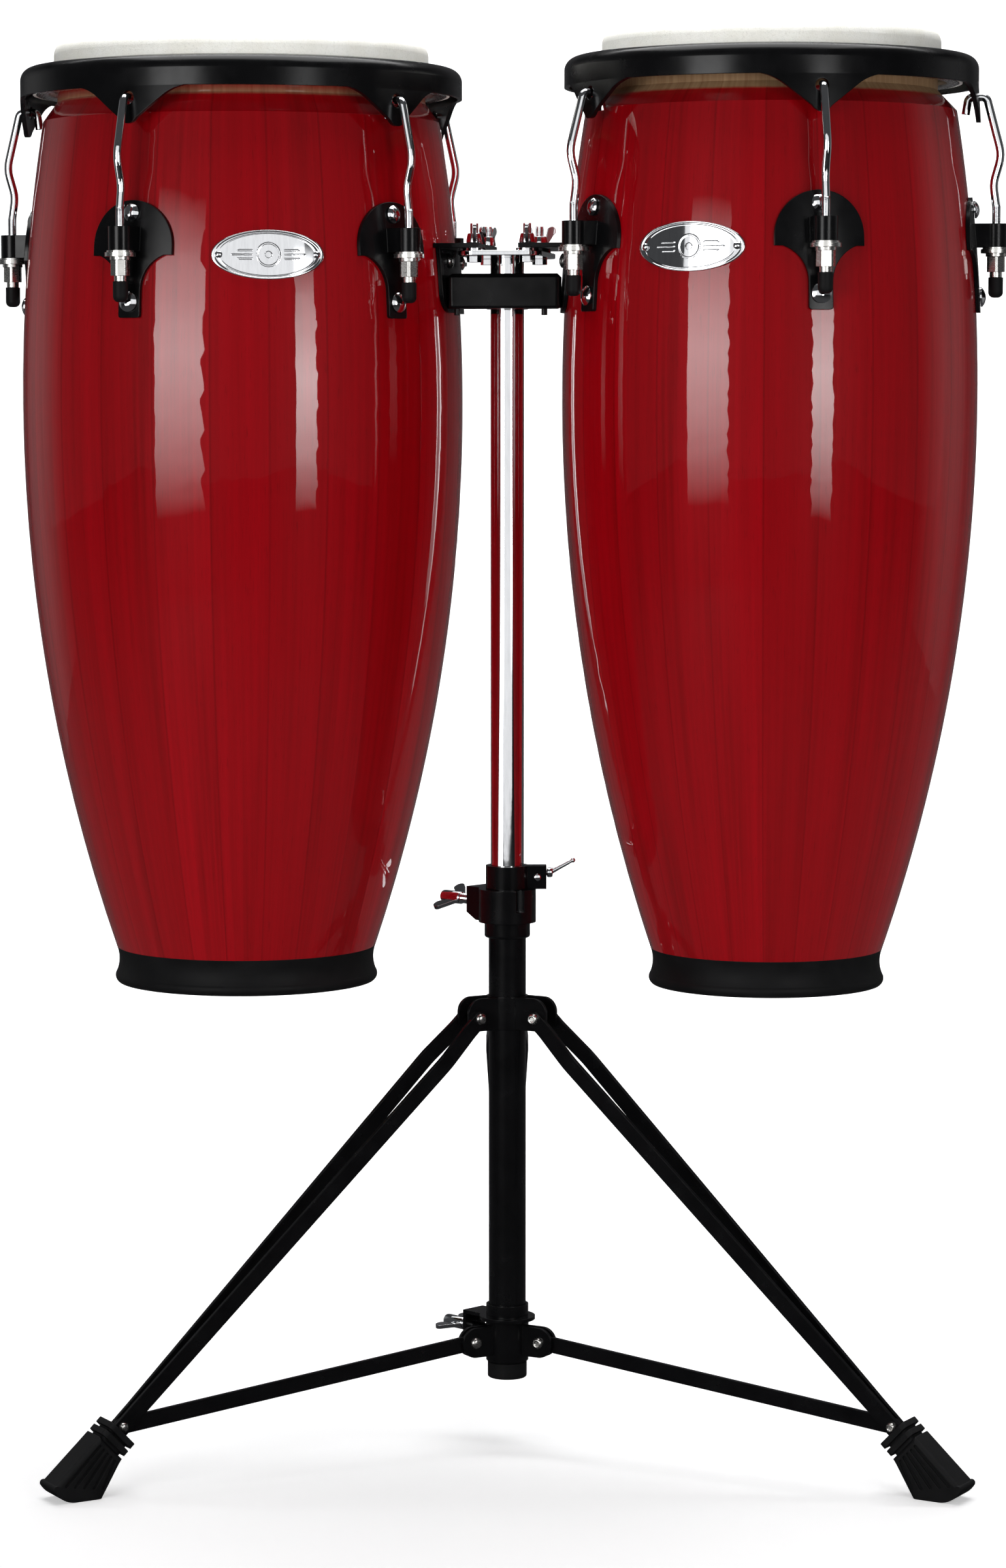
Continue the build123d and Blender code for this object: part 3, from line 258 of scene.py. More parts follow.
def lacquer_material(drum):
    """Clear gloss lacquer over red-stained staves; bare wood inside the shell."""
    g = Graph(f"red_lacquer_{drum.name}")
    x, y, z = g.split(g.place)
    angle = g.math("ARCTAN2", y, g.math("SUBTRACT", x, drum.x))
    turn = g.math("MULTIPLY", g.math("SUBTRACT", angle, FIRST_SEAM), STAVES / (2 * math.pi))
    stave = g.math("FLOOR", turn)
    across = g.math("SUBTRACT", turn, stave)
    chance = g.node("ShaderNodeTexWhiteNoise", noise_dimensions="1D")
    first_stave = 40.0 if drum.name == "large" else 90.0
    g.feed(chance.inputs["W"], g.math("ADD", stave, first_stave))
    tone = chance.outputs["Value"]
    arc = g.math("MULTIPLY", angle, drum.belly)
    shift = g.math("MULTIPLY", stave, 3.7)

    def along_stave(around, upright, detail, roughness):
        """Noise stretched along the boards, shifted from one board to the next."""
        place = g.join(g.math("MULTIPLY", arc, around), g.math("MULTIPLY", z, upright), shift)
        return g.noise(place, 1.0, detail, roughness)

    grain = along_stave(260.0, 5.0, 6.0, 0.6)
    streak = along_stave(55.0, 1.6, 3.0, 0.5)
    pores = g.spread(along_stave(1400.0, 70.0, 2.0, 0.5), 0.62, 0.74, 0.0, 1.0)
    seam_low = g.spread(across, 0.0, 0.03, 1.0, 0.0)
    seam_high = g.spread(across, 0.97, 1.0, 0.0, 1.0)
    seam = g.math("ADD", seam_low, seam_high, clamp=True)

    dark_stain, light_stain = rgb(0.30, 0.0, 0.0024), rgb(0.49, 0.0001, 0.006)
    streak_stain, deep_stain = rgb(0.59, 0.0004, 0.008), rgb(0.23, 0.0, 0.001)
    pore_stain, seam_stain = rgb(0.14, 0.0001, 0.001), rgb(0.125, 0.0001, 0.0008)
    depth = g.spread(grain, 0.3, 0.72, 0.0, 1.0)
    colour = g.mix(depth, dark_stain, light_stain)
    colour = g.mix(g.spread(streak, 0.35, 0.7, 0.0, 0.62), colour, streak_stain)
    colour = g.mix(g.spread(tone, 0.0, 1.0, 0.0, 0.42), colour, deep_stain)
    colour = g.mix(g.math("MULTIPLY", pores, 0.42), colour, pore_stain)
    colour = g.mix(g.math("MULTIPLY", seam, 0.4), colour, seam_stain)

    radius = g.node("ShaderNodeVectorMath", operation="LENGTH")
    g.feed(radius.inputs[0], g.join(g.math("SUBTRACT", x, drum.x), y, 0.0))
    height = g.math("SUBTRACT", z, drum.base + BELLY_HEIGHT)
    fall = g.math("MULTIPLY", g.math("MULTIPLY", height, height), 0.5 / STAVE_ARC)
    wall = g.math("SUBTRACT", drum.belly, fall)
    depth_in_wall = g.math("SUBTRACT", wall, radius.outputs["Value"])
    inside = g.spread(depth_in_wall, WALL_THICKNESS, WALL_THICKNESS + 1.5 * MM, 0.0, 1.0)
    bare = g.mix(depth, rgb(0.30, 0.17, 0.085), rgb(0.47, 0.31, 0.17))
    g.set(
        Base_Color=g.mix(inside, colour, bare),
        Roughness=g.spread(grain, 0.2, 0.8, 0.5, 0.4),
        Specular_IOR_Level=0.08,
        Coat_Weight=g.math("SUBTRACT", 1.0, inside),
        Coat_Roughness=0.022,
        Coat_IOR=1.52,
        Normal=g.bump(g.math("SUBTRACT", grain, g.math("MULTIPLY", seam, 0.4)), 0.00005, 0.35),
    )
    ripple = g.noise(g.scaled(g.place, 1.0, 1.0, 0.25), 26.0, 2.0, 0.4)
    g.set(Coat_Normal=g.bump(ripple, 0.00035, 0.10))
    return g.material


def skin_material():
    """Off-white synthetic head: flecked, fibrous and matt."""
    g = Graph("drum_skin")
    fleck = g.noise(g.place, 900.0, 3.0, 0.6)
    cloud = g.noise(g.place, 45.0, 4.0, 0.55)
    fibre = g.noise(g.scaled(g.place, 1.0, 2.6, 1.0), 320.0, 5.0, 0.65)
    cream, ivory = rgb(0.84, 0.83, 0.765), rgb(0.90, 0.895, 0.845)
    fibre_colour, fleck_colour = rgb(0.72, 0.71, 0.65), rgb(0.56, 0.555, 0.50)
    colour = g.mix(g.spread(cloud, 0.35, 0.65, 0.0, 1.0), cream, ivory)
    colour = g.mix(g.spread(fibre, 0.52, 0.72, 0.0, 0.5), colour, fibre_colour)
    colour = g.mix(g.spread(fleck, 0.60, 0.70, 0.0, 0.5), colour, fleck_colour)
    g.set(
        Base_Color=colour,
        Roughness=g.spread(fleck, 0.3, 0.7, 0.62, 0.8),
        Specular_IOR_Level=0.35,
        Subsurface_Weight=0.06,
        Subsurface_Radius=(0.004, 0.003, 0.002),
        Normal=g.bump(g.math("ADD", fleck, g.math("MULTIPLY", fibre, 0.6)), 0.00022, 0.7),
    )
    return g.material


def powder_coat_material():
    """Glossy black coat with a faint orange peel and softly rounded edges."""
    g = Graph("black_powder_coat")
    peel = g.noise(g.place, 700.0, 2.0, 0.5)
    cloud = g.noise(g.place, 45.0, 4.0, 0.6)
    rounded = g.rounded(0.8 * MM, 6)
    dark, light = rgb(0.0035, 0.0035, 0.004), rgb(0.006, 0.006, 0.0068)
    colour = g.mix(g.spread(cloud, 0.35, 0.7, 0.0, 1.0), dark, light)
    g.set(
        Base_Color=colour,
        Roughness=g.spread(cloud, 0.3, 0.7, 0.20, 0.29),
        Specular_IOR_Level=0.28,
        Normal=g.bump(peel, 0.00003, 0.3, rounded),
    )
    return g.material


def rubber_material():
    """Matt black rubber with mould grain and a faint bloom."""
    g = Graph("black_rubber")
    grain = g.noise(g.place, 1100.0, 3.0, 0.6)
    bloom = g.noise(g.place, 38.0, 5.0, 0.6)
    rounded = g.rounded(0.9 * MM, 6)
    dark, light = rgb(0.006, 0.006, 0.0066), rgb(0.011, 0.011, 0.012)
    colour = g.mix(g.spread(bloom, 0.4, 0.75, 0.0, 1.0), dark, light)
    g.set(
        Base_Color=colour,
        Roughness=g.spread(bloom, 0.3, 0.7, 0.50, 0.64),
        Specular_IOR_Level=0.26,
        Normal=g.bump(grain, 0.00006, 0.5, rounded),
    )
    return g.material


def plastic_material():
    """Moulded nylon bush."""
    g = Graph("bush_nylon")
    grain = g.noise(g.place, 700.0, 3.0, 0.5)
    dark, light = rgb(0.018, 0.018, 0.019), rgb(0.026, 0.026, 0.027)
    g.set(
        Base_Color=g.mix(g.spread(grain, 0.4, 0.6, 0.0, 1.0), dark, light),
        Roughness=g.spread(grain, 0.3, 0.7, 0.42, 0.55),
        Normal=g.bump(grain, 0.00005, 0.5),
    )
    return g.material


def chrome_material():
    """Polished chrome with a very slight plating ripple and faint wipe marks."""
    g = Graph("polished_chrome")
    ripple = g.noise(g.place, 90.0, 2.0, 0.4)
    wipe = g.noise(g.scaled(g.place, 1.0, 1.0, 0.12), 420.0, 4.0, 0.6)
    rounded = g.rounded(0.4 * MM, 4)
    clean, wiped = rgb(0.80, 0.81, 0.83), rgb(0.72, 0.73, 0.75)
    colour = g.mix(g.spread(wipe, 0.4, 0.7, 0.0, 1.0), clean, wiped)
    g.set(
        Base_Color=colour,
        Metallic=1.0,
        Roughness=g.spread(wipe, 0.35, 0.75, 0.035, 0.085),
        Normal=g.bump(ripple, 0.00012, 0.18, rounded),
    )
    return g.material


def nickel_material():
    """Bright nickel plate with fine turning marks."""
    g = Graph("bright_nickel")
    brush = g.noise(g.scaled(g.place, 1.0, 1.0, 9.0), 520.0, 4.0, 0.6)
    cloud = g.noise(g.place, 140.0, 3.0, 0.5)
    rounded = g.rounded(0.4 * MM, 4)
    light, dark = rgb(0.70, 0.69, 0.66), rgb(0.60, 0.59, 0.57)
    colour = g.mix(g.spread(cloud, 0.35, 0.7, 0.0, 1.0), light, dark)
    g.set(
        Base_Color=colour,
        Metallic=1.0,
        Roughness=g.spread(brush, 0.3, 0.7, 0.16, 0.32),
        Normal=g.bump(brush, 0.00005, 0.45, rounded),
    )
    return g.material


MATERIALS = {
    "skin": skin_material(),
    "black_steel": powder_coat_material(),
    "black_rubber": rubber_material(),
    "bush_plastic": plastic_material(),
    "chrome": chrome_material(),
    "nickel_steel": nickel_material(),
}
BRIGHT_METAL = [MATERIALS["chrome"], MATERIALS["nickel_steel"]]
LACQUER = {f"{drum.name}_shell": lacquer_material(drum) for drum in DRUMS}


def dress_nodes():
    """Give every CAD node the material of its slot, and each shell its own lacquer."""
    slots = {row["node"]: row["material_slot"] for row in frame["record"]["subparts"]}
    for name, node in frame["nodes"].items():
        material = LACQUER.get(name) or MATERIALS[slots[name]]
        node.data.materials.clear()
        node.data.materials.append(material)


# ---------------------------------------------------------------- mesh helpers


def frame_at(origin, axis, toward=(0, 0, 1)):
    """Matrix whose z axis runs along an axis, with x near a given direction."""
    z = Vector(axis).normalized()
    x = Vector(toward) - z * Vector(toward).dot(z)
    if x.length < 1e-6:
        x = Vector((1, 0, 0)) - z * z.x
    x.normalize()
    y = z.cross(x)
    turned = Matrix((x, y, z)).transposed().to_4x4()
    turned.translation = Vector(origin)
    return turned


def lathe(bm, profile, place, segments=48):
    """Turn a profile of (radius, height) points about the local z axis."""
    rings = []
    for radius, height in profile:
        if radius < 1e-7:
            rings.append([bm.verts.new(place @ Vector((0, 0, height)))])
            continue
        ring = []
        for step in range(segments):
            turn = 2 * math.pi * step / segments
            point = Vector((radius * math.cos(turn), radius * math.sin(turn), height))
            ring.append(bm.verts.new(place @ point))
        rings.append(ring)
    for low, high in zip(rings, rings[1:]):
        for step in range(segments):
            after = (step + 1) % segments
            if len(low) == 1:
                bm.faces.new((low[0], high[after], high[step]))
            elif len(high) == 1:
                bm.faces.new((low[step], low[after], high[0]))
            else:
                bm.faces.new((low[step], low[after], high[after], high[step]))


def thread(bm, place, core, crest, pitch, length, segments=28):
    """Wind a V-shaped ridge about the local z axis, with both ends run out to the core."""
    turns = length / pitch
    steps = int(turns * segments)
    rows = []
    for step in range(steps + 1):
        share = step / steps
        turn = 2 * math.pi * turns * share
        fade = min(1.0, share * turns, (1 - share) * turns)
        tip = core + (crest - core) * fade
        height = length * share
        row = []
        for radius, lift in ((core, -0.5), (tip, -0.08), (tip, 0.08), (core, 0.5)):
            level = height + lift * pitch * 0.98
            point = Vector((radius * math.cos(turn), radius * math.sin(turn), level))
            row.append(bm.verts.new(place @ point))
        rows.append(row)
    for before, after in zip(rows, rows[1:]):
        for edge in range(3):
            bm.faces.new((before[edge], after[edge], after[edge + 1], before[edge + 1]))
        bm.faces.new((before[3], after[3], after[0], before[0]))
    bm.faces.new(rows[0])
    bm.faces.new(tuple(reversed(rows[-1])))


def slab(bm, outline, thick, place):
    """Extrude a closed outline both ways along the local y axis."""
    sides = []
    for side in (-0.5, 0.5):
        sides.append([bm.verts.new(place @ Vector((x, side * thick, z))) for x, z in outline])
    bm.faces.new(sides[0])
    bm.faces.new(tuple(reversed(sides[1])))
    for index in range(len(outline)):
        after = (index + 1) % len(outline)
        bm.faces.new((sides[0][after], sides[0][index], sides[1][index], sides[1][after]))


def piece(name, bm, body, slot, smooth_angle, bevel=0.0):
    """Finish a mesh: consistent faces, smooth shading, the material of its slot, and its body."""
    bmesh.ops.recalc_face_normals(bm, faces=bm.faces)
    mesh = bpy.data.meshes.new(name)
    bm.to_mesh(mesh)
    bm.free()
    made = bpy.data.objects.new(name, mesh)
    bpy.context.scene.collection.objects.link(made)
    mesh.materials.append(MATERIALS[slot])
    mesh.shade_smooth()
    mesh.set_sharp_from_angle(angle=math.radians(smooth_angle))
    if bevel:
        rounding = made.modifiers.new("rounding", "BEVEL")
        rounding.width = bevel
        rounding.segments = 3
        rounding.limit_method = "ANGLE"
        rounding.angle_limit = math.radians(smooth_angle)
        rounding.harden_normals = True
    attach(made, body)
    return made


# ---------------------------------------------------------------- small hardware

# Turned outlines, as (radius, height) in millimetres.
WING_NUT_HUB = (
    (3.1, 0), (5.6, 0), (6.0, 0.5), (5.9, 2.4), (5.1, 6.6),
    (4.7, 7.3), (3.9, 7.5), (3.1, 7.5), (3.1, 0),
)
WING_BOLT_HUB = (
    (0, -1), (3.8, -1), (3.8, -0.4), (4.5, -0.2), (4.9, 0.4),
    (4.9, 18.2), (4.6, 19.3), (3.8, 19.9), (0, 20),
)
KEY_SCREW = (
    (0, 0), (2.45, 0), (2.45, 17.2), (3.6, 17.4),
    (3.9, 18.4), (3.9, 20.6), (3.3, 21.6), (0, 21.9),
)
PAN_HEAD = ((3.0, 0), (3.0, 0.45), (2.58, 1.02), (1.65, 1.395), (0.6, 1.5), (0, 1.5))
DOMED_RIVET = ((0, 2.9), (1.4, 2.8), (2.8, 2.42), (3.9, 1.6), (4.45, 0.5), (4.5, -0.2), (0, -0.2))
HOLLOW_RIVET = (
    (0, 2.3), (1.6, 2.3), (1.9, 2.7), (2.5, 3.1), (3.2, 2.9),
    (4.0, 2.0), (4.45, 0.6), (4.5, -0.2), (0, -0.2),
)


def in_metres(outline, radius_scale=1.0):
    return [(radius * radius_scale * MM, height * MM) for radius, height in outline]


def rod_threads(drum):
    """Rolled threads on the straight ends of the tension rods."""
    core, crest, pitch, length = 2.95 * MM, 3.22 * MM, 1.0 * MM, 13 * MM
    start = drum.base + RECEIVER_TOP + 0.4 * MM
    bm = bmesh.new()
    for number in range(1, LUGS + 1):
        x, y = drum.rod(number)
        thread(bm, frame_at((x, y, start), UP), core, crest, pitch, length)
    piece(f"{drum.name}_rod_threads", bm, "drums", "chrome", 30)


def wing_outline(reach, height, root, lobe):
    """Right-hand wing seen from the front: waisted at the hub, rounded at its tip."""
    points = [(0.0, 0.0), (root, 0.0), (root + reach * 0.08, height * 0.1)]
    centre_x, centre_z = reach - lobe, height - lobe
    for step in range(11):
        turn = math.radians(-62 + 218 * step / 10)
        points.append((centre_x + lobe * math.cos(turn), centre_z + lobe * math.sin(turn)))
    points.append((root * 0.9, height * 0.46))
    points.append((0.0, height * 0.40))
    return points


def wings(bm, reach, height, root, lobe, thick, place):
    right = wing_outline(reach, height, root, lobe)
    left = [(-x, z) for x, z in reversed(right)]
    slab(bm, right, thick, place)
    slab(bm, left, thick, place)


def wing_nut(number):
    """Cast wing nut on one of the clamp's bolts."""
    node = f"wing_nut_{number}"
    low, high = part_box(node)
    centre = (low + high) / 2
    span = Vector((high.x - low.x, high.y - low.y, 0))
    turn = math.radians(WING_NUT_TURNS[number - 1])
    toward = Vector((math.cos(turn), math.sin(turn), 0))
    place = frame_at((centre.x, centre.y, low.z), UP, toward)
    bm = bmesh.new()
    lathe(bm, in_metres(WING_NUT_HUB), place)
    reach = min(WING_NUT_REACH, span.length / 2)
    wings(bm, reach, high.z - low.z, 5.2 * MM, 3.4 * MM, 2.4 * MM, place)
    made = piece(f"{node}_cast", bm, node, "chrome", 35, 0.35 * MM)
    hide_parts(node)


def bolt_ends():
    """Threads on the clamp bolts where they stand out of the wing nuts."""
    core, crest, pitch = 2.92 * MM, 3.18 * MM, 1.0 * MM
    bm = bmesh.new()
    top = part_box("plate_bolts")[1].z
    for number in range(1, len(WING_NUT_TURNS) + 1):
        spot = middle(f"wing_nut_{number}")
        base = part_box(f"wing_nut_{number}")[0].z + 7.6 * MM
        length = top - base - 0.8 * MM
        thread(bm, frame_at((spot.x, spot.y, base), UP), core, crest, pitch, length)
    piece("clamp_bolt_threads", bm, "drums", "chrome", 30)


def nearest_reach(node, axis):
    """How far a node's nearest point lies from the post, along an axis."""
    mesh = frame["nodes"][node].data
    return min(Vector((v.co.x, v.co.y, 0)).dot(axis) for v in mesh.vertices)


def wing_bolt(node, body, joint, seat, hub_start, roll):
    """Wing bolt with a rolled thread, a long turned hub and cast wings.

    The seat is where the bolt enters its boss and hub_start where the hub begins, both
    measured from the post's middle. The roll turns the wings about the bolt, in degrees.
    """
    point, axis = joint_line(joint)
    post = UP * point.z
    bm = bmesh.new()
    lathe(bm, in_metres(WING_BOLT_HUB), frame_at(post + axis * hub_start, axis, UP))
    turn = math.radians(roll)
    span = UP.cross(axis) * math.cos(turn) - UP * math.sin(turn)
    wing_place = Matrix((span, axis.cross(span), axis)).transposed().to_4x4()
    wing_place.translation = post + axis * hub_start
    wings(bm, 17 * MM, 18 * MM, 4.6 * MM, 4.4 * MM, 3.0 * MM, wing_place)
    tip = nearest_reach(node, axis)
    length = hub_start - tip
    shank = 3.8 * MM
    outline = [(0, 0), (shank - 0.5 * MM, 0), (shank, 0.6 * MM), (shank, length), (0, length)]
    lathe(bm, outline, frame_at(post + axis * tip, axis, UP), 32)
    core, crest, pitch = 3.72 * MM, 4.12 * MM, 1.25 * MM
    thread_place = frame_at(post + axis * (seat + 0.2 * MM), axis, UP)
    thread(bm, thread_place, core, crest, pitch, hub_start - seat - 1.4 * MM)
    made = piece(f"{node}_cast", bm, body, "chrome", 35, 0.4 * MM)
    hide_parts(node)


def memory_key():
    """Key of the memory lock: screw, knuckle and a tapered lever with a round tip."""
    point, axis = joint_line("memory_key_turn")
    post = UP * point.z
    bm = bmesh.new()
    lathe(bm, in_metres(KEY_SCREW), frame_at(post + axis * (13.1 * MM), axis, UP), 32)
    seat = post + axis * (33 * MM)
    run = axis * (19 * MM) + UP * (10.2 * MM)
    length = run.length
    profile = [(0, -1.2 * MM), (1.7 * MM, -0.8 * MM), (1.9 * MM, 0)]
    profile += [(1.6 * MM, length * 0.3), (1.4 * MM, length * 0.72)]
    ball = 1.9 * MM
    for step in range(9):
        turn = math.radians(-50 + 140 * step / 8)
        profile.append((max(0.0, ball * math.cos(turn)), length + ball * math.sin(turn) - ball))
    profile[-1] = (0, profile[-1][1])
    lathe(bm, profile, frame_at(seat, run, axis), 28)
    made = piece("memory_key_cast", bm, "memory_key", "chrome", 35)
    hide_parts("memory_key")


def lock_screw():
    """Small pan screw on the front face of the memory lock's ear."""
    axis = joint_line("memory_key_turn")[1]
    side = axis.cross(UP)
    on_ear = axis * (23 * MM) + side * (6.02 * MM) + UP * middle("memory_lock").z
    bm = bmesh.new()
    lathe(bm, in_metres(PAN_HEAD), frame_at(on_ear, side, UP), 32)
    piece("memory_lock_screw", bm, "memory_lock", "chrome", 40)


def rivet_pair(bm, centre, sideways, face, scale=1.0):
    """A domed head on one side of a hinge and a hollow one on the other."""
    for side, profile in ((-1, HOLLOW_RIVET), (1, DOMED_RIVET)):
        place = frame_at(centre + sideways * side * face, sideways * side, UP)
        lathe(bm, in_metres(profile, scale), place, 32)


def rivets(number):
    """Bright rivets on both straps of a leg and on the spider's ears."""
    spider_pivot, sideways = joint_line(f"brace_{number}_hinge")
    foot_pivot = joint_line(f"leg_{number}_hinge")[0]
    collar_pivot = Vector((spider_pivot.x, spider_pivot.y, LEG_TOP_Z))
    bm = bmesh.new()
    rivet_pair(bm, collar_pivot, sideways, 12.42 * MM)
    rivet_pair(bm, foot_pivot, sideways, 4.82 * MM, 0.88)
    piece(f"leg_{number}_rivets", bm, f"leg_{number}", "nickel_steel", 50)
    bm = bmesh.new()
    rivet_pair(bm, spider_pivot, sideways, 4.42 * MM)
    piece(f"spider_rivet_heads_{number}", bm, "spider", "nickel_steel", 50)


# ---------------------------------------------------------------- badges


def badge_lift(share, u, v):
    """Height of the badge's face above the shell: share is 0 in the middle, 1 at the edge."""
    bead_start, line_start, line_end = 0.925, 0.845, 0.872
    level = PLATE_LEVEL
    if share > bead_start:
        across_bead = min(1.0, (share - bead_start) / (1 - bead_start))
        level += BEAD_RISE * math.sin(math.pi * across_bead) ** 0.6
    elif line_start < share < line_end:
        level = LINE_LEVEL
    circle = math.hypot(u, v)
    if 7.6 * MM < circle < 8.8 * MM or circle < 2.4 * MM:
        level = RING_LEVEL
    bar = abs(abs(v) - 3.1 * MM) < 0.55 * MM or abs(v) < 0.4 * MM
    if bar and 11.5 * MM < abs(u) < 27 * MM - abs(v) * 1.6:
        level = BAR_LEVEL
    return level * MM


def badge(drum):
    """Oval plate that follows the shell, with a beaded rim, a line and a ring-and-bars relief."""
    rings, segments = 84, 240
    bm = bmesh.new()

    def ellipse(share, points, lift_at):
        row = []
        for step in range(points):
            turn = 2 * math.pi * step / segments
            u = BADGE_HALF_LONG * share * math.cos(turn)
            v = BADGE_HALF_SHORT * share * math.sin(turn)
            angle = drum.badge_angle + math.degrees(u / drum.wall(BADGE_HEIGHT))
            spot = drum.on_wall(angle, BADGE_HEIGHT + v, lift_at(share, u, v))
            row.append(bm.verts.new(spot))
        return row

    rows = [ellipse(0.0, 1, badge_lift)]
    for ring in range(1, rings + 1):
        rows.append(ellipse(ring / rings, segments, badge_lift))
    rows.append(ellipse(1.0, segments, lambda share, u, v: 0.12 * MM))
    for step in range(segments):
        bm.faces.new((rows[0][0], rows[1][step], rows[1][(step + 1) % segments]))
    for low, high in zip(rows[1:], rows[2:]):
        for step in range(segments):
            after = (step + 1) % segments
            bm.faces.new((low[step], high[step], high[after], low[after]))
    made = piece(f"{drum.name}_badge_plate", bm, "drums", "chrome", 60)
    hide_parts(f"{drum.name}_badge")


# ---------------------------------------------------------------- studio


def area_light(name, place, target, width, height, power):
    lamp = bpy.data.lights.new(name, "AREA")
    lamp.shape = "RECTANGLE"
    lamp.size, lamp.size_y = width, height
    lamp.energy = power
    made = bpy.data.objects.new(name, lamp)
    made.location = place
    made.rotation_euler = (Vector(target) - Vector(place)).to_track_quat("-Z", "Y").to_euler()
    made.visible_camera = False
    bpy.context.scene.collection.objects.link(made)
    return made


def feather(light, directions=(1,)):
    """Let a softbox fade from its middle to its ends, upright (1) or across (0)."""
    lamp = light.data
    lamp.use_nodes = True
    tree = lamp.node_tree

    def step(operation, first, second=0.0, third=0.0):
        made = tree.nodes.new("ShaderNodeMath")
        made.operation = operation
        for socket, value in zip(made.inputs, (first, second, third)):
            if isinstance(value, bpy.types.NodeSocket):
                tree.links.new(value, socket)
            else:
                socket.default_value = value
        return made.outputs[0]

    place = tree.nodes.new("ShaderNodeSeparateXYZ")
    surface = tree.nodes.new("ShaderNodeNewGeometry")
    tree.links.new(surface.outputs["Parametric"], place.inputs[0])
    level = 1.0
    for direction in directions:
        from_middle = step("MULTIPLY_ADD", place.outputs[direction], 2.0, -1.0)
        fall = step("POWER", step("ABSOLUTE", from_middle), FEATHER)
        level = step("MULTIPLY", level, step("SUBTRACT", 1.0, fall))
    tree.links.new(level, tree.nodes["Emission"].inputs["Strength"])


def light_only(light, materials):
    """Let a light fall only on the pieces that wear one of these materials."""
    lit = bpy.data.collections.new(f"{light.name}_receivers")
    for made in bpy.data.objects:
        worn = made.data.materials if made.type == "MESH" else None
        if worn and worn[0] in materials:
            lit.objects.link(made)
    light.light_linking.receiver_collection = lit


def paper_material():
    """White paper that is darker in reflections, and clear when seen from behind."""
    paper = Graph("studio_paper")
    fleck = paper.noise(paper.place, 30.0, 3.0, 0.5)
    path = paper.node("ShaderNodeLightPath")
    seen = paper.mix(fleck, rgb(0.86, 0.86, 0.865), rgb(0.88, 0.88, 0.885))
    paper.set(
        Base_Color=paper.mix(path.outputs["Is Glossy Ray"], seen, rgb(0.055, 0.055, 0.057)),
        Roughness=0.9,
        Specular_IOR_Level=0.1,
        Emission_Color=rgb(1.0, 1.0, 1.0),
        Emission_Strength=paper.math("MULTIPLY", path.outputs["Is Camera Ray"], 0.42),
    )
    one_sided = paper.node("ShaderNodeMixShader")
    paper.feed(one_sided.inputs[0], paper.node("ShaderNodeNewGeometry").outputs["Backfacing"])
    paper.feed(one_sided.inputs[1], paper.shader.outputs[0])
    paper.feed(one_sided.inputs[2], paper.node("ShaderNodeBsdfTransparent").outputs[0])
    paper.feed(paper.output.inputs["Surface"], one_sided.outputs[0])
    return paper.material


def studio_floor():
    """Pale floor that curves up behind the object."""
    bm = bmesh.new()
    half, front, back, curve, top, steps = 7.0, -7.0, 3.6, 1.2, 5.0, 12
    profile = [(front, 0.0), (back - curve, 0.0)]
    for step in range(1, steps + 1):
        turn = math.radians(90 * step / steps)
        profile.append((back - curve + curve * math.sin(turn), curve - curve * math.cos(turn)))
    profile.append((back, top))
    rows = [[bm.verts.new((side, y, z)) for side in (-half, half)] for y, z in profile]
    for low, high in zip(rows, rows[1:]):
        bm.faces.new((low[0], low[1], high[1], high[0]))
    mesh = bpy.data.meshes.new("studio_floor")
    bm.to_mesh(mesh)
    bm.free()
    mesh.materials.append(paper_material())
    mesh.shade_smooth()
    floor = bpy.data.objects.new("studio_floor", mesh)
    bpy.context.scene.collection.objects.link(floor)


def lamps():
    """Two front softboxes, top and side lights, and fills for metal and skins alone."""
    feather(area_light("softbox_left", (-1.22, -2.55, 1.0), (0, 0, 1.0), 1.15, 1.34, 30))
    feather(area_light("softbox_right", (1.08, -1.40, 0.87), (0.02, 0, 0.87), 0.34, 0.80, 7.4))
    area_light("top_light", (0.0, 0.3, 3.0), (0, 0, 0.6), 2.6, 2.2, 60)
    for side, name in ((-1, "side_left"), (1, "side_right")):
        feather(area_light(name, (2.6 * side, 1.3, 0.95), (0, 0, 0.8), 2.4, 2.8, 6), (0, 1))
    area_light("back_wash", (0, 1.6, 3.2), (0, 3.6, 1.2), 4.5, 1.2, 110)
    fill = area_light("metal_fill", (0.0, -3.9, 1.1), (0, 0, 0.8), 7.0, 3.0, 62)
    light_only(fill, BRIGHT_METAL)
    low = area_light("metal_low_fill", (-1.6, -1.8, 0.25), (0, 0, 0.42), 1.6, 0.8, 10)
    light_only(low, BRIGHT_METAL)
    glow = area_light("skin_light", (0.0, -0.9, 2.6), (0, 0, 1.05), 2.2, 1.2, 46)
    light_only(glow, [MATERIALS["skin"]])


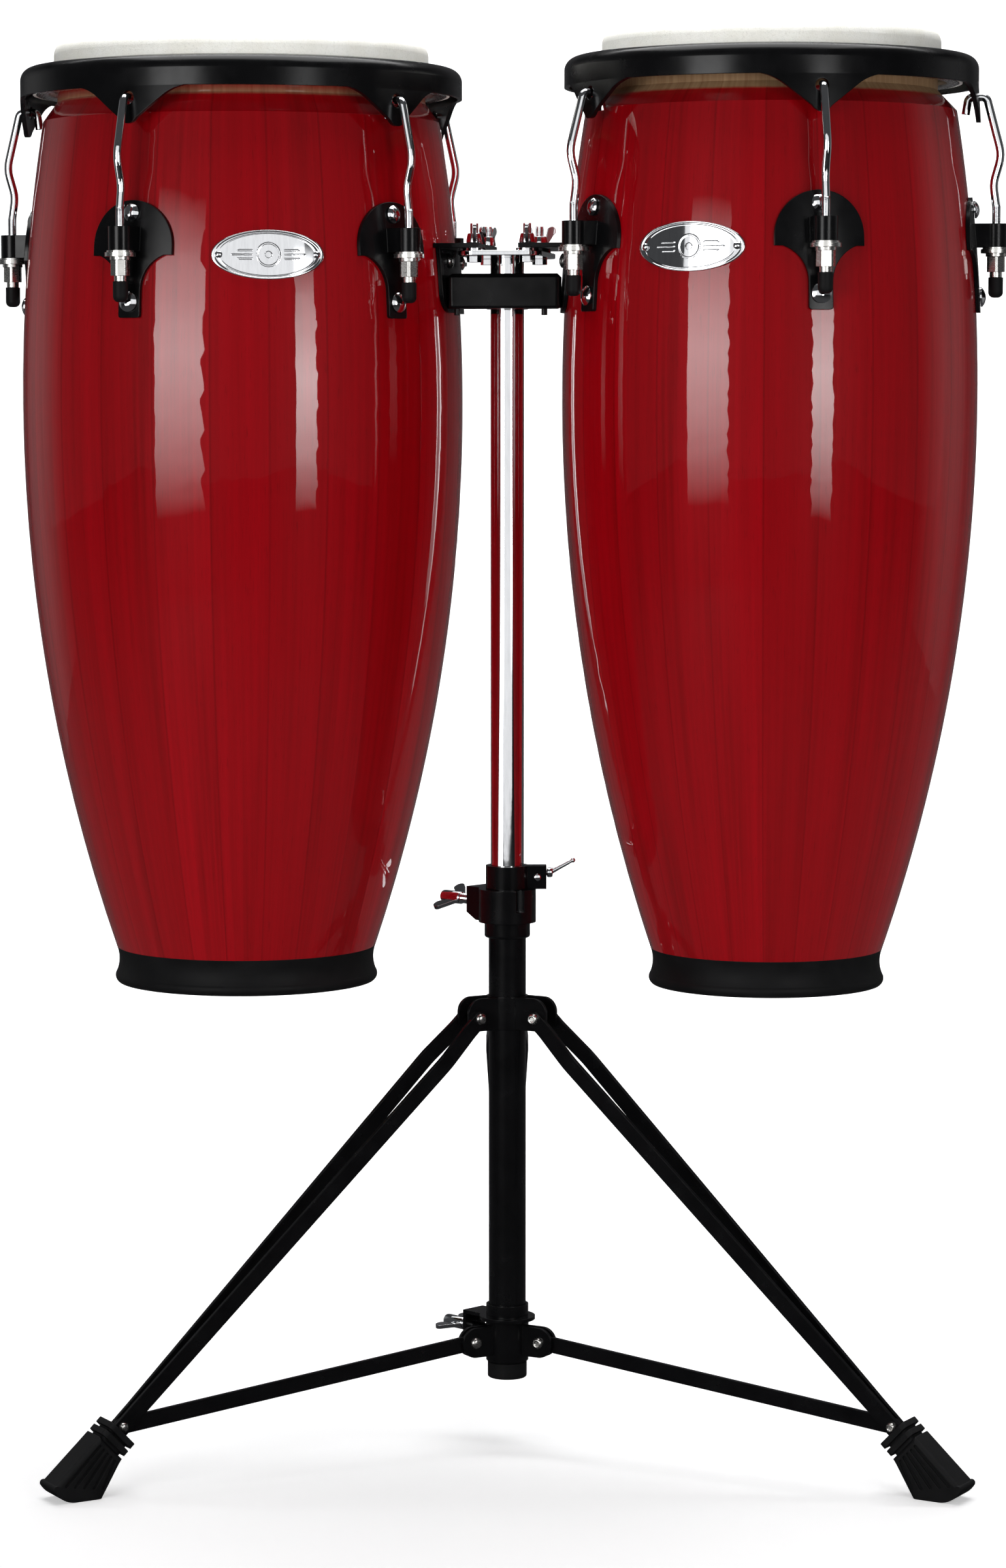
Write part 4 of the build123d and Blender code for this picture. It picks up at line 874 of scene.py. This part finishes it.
def studio_world():
    """Pale surroundings, dim for everything but the camera."""
    world = bpy.data.worlds.new("studio_world")
    world.use_nodes = True
    tree = world.node_tree
    background = tree.nodes["Background"]
    path = tree.nodes.new("ShaderNodeLightPath")
    dimming = tree.nodes.new("ShaderNodeMapRange")
    dimming.inputs["To Min"].default_value = 0.06
    dimming.inputs["To Max"].default_value = 0.9
    tree.links.new(path.outputs["Is Camera Ray"], dimming.inputs["Value"])
    tree.links.new(dimming.outputs["Result"], background.inputs["Strength"])
    background.inputs["Color"].default_value = rgb(0.94, 0.96, 1.0)
    bpy.context.scene.world = world


def camera():
    """Long lens in front of the drums, a little to the right, looking slightly down."""
    data = bpy.data.cameras.new("photo_camera")
    data.sensor_width = CAMERA_SENSOR
    data.lens = CAMERA_LENS
    data.clip_start, data.clip_end = 0.1, 60
    made = bpy.data.objects.new("photo_camera", data)
    turn, pitch = math.radians(CAMERA_AZIMUTH), math.radians(CAMERA_PITCH)
    made.location = (
        math.sin(turn) * CAMERA_DISTANCE - math.cos(turn) * CAMERA_SHIFT,
        -math.cos(turn) * CAMERA_DISTANCE - math.sin(turn) * CAMERA_SHIFT,
        CAMERA_HEIGHT,
    )
    across, away = -math.sin(turn) * math.cos(pitch), math.cos(turn) * math.cos(pitch)
    look = Vector((across, away, -math.sin(pitch)))
    made.rotation_euler = look.to_track_quat("-Z", "Y").to_euler()
    bpy.context.scene.collection.objects.link(made)
    bpy.context.scene.camera = made


# ---------------------------------------------------------------- build

dress_nodes()
for drum in DRUMS:
    rod_threads(drum)
    badge(drum)
for number in range(1, len(WING_NUT_TURNS) + 1):
    wing_nut(number)
bolt_ends()
wing_bolt("height_wing_bolt", "height_bolt", "height_bolt_turn", 34 * MM, 50 * MM, 27)
wing_bolt("spider_wing_bolt", "spider_bolt", "spider_bolt_turn", 38 * MM, 47 * MM, 8)
memory_key()
lock_screw()
for number in range(1, LEGS + 1):
    rivets(number)
studio_floor()
lamps()
studio_world()
camera()
bpy.context.scene.view_settings.view_transform = "Standard"
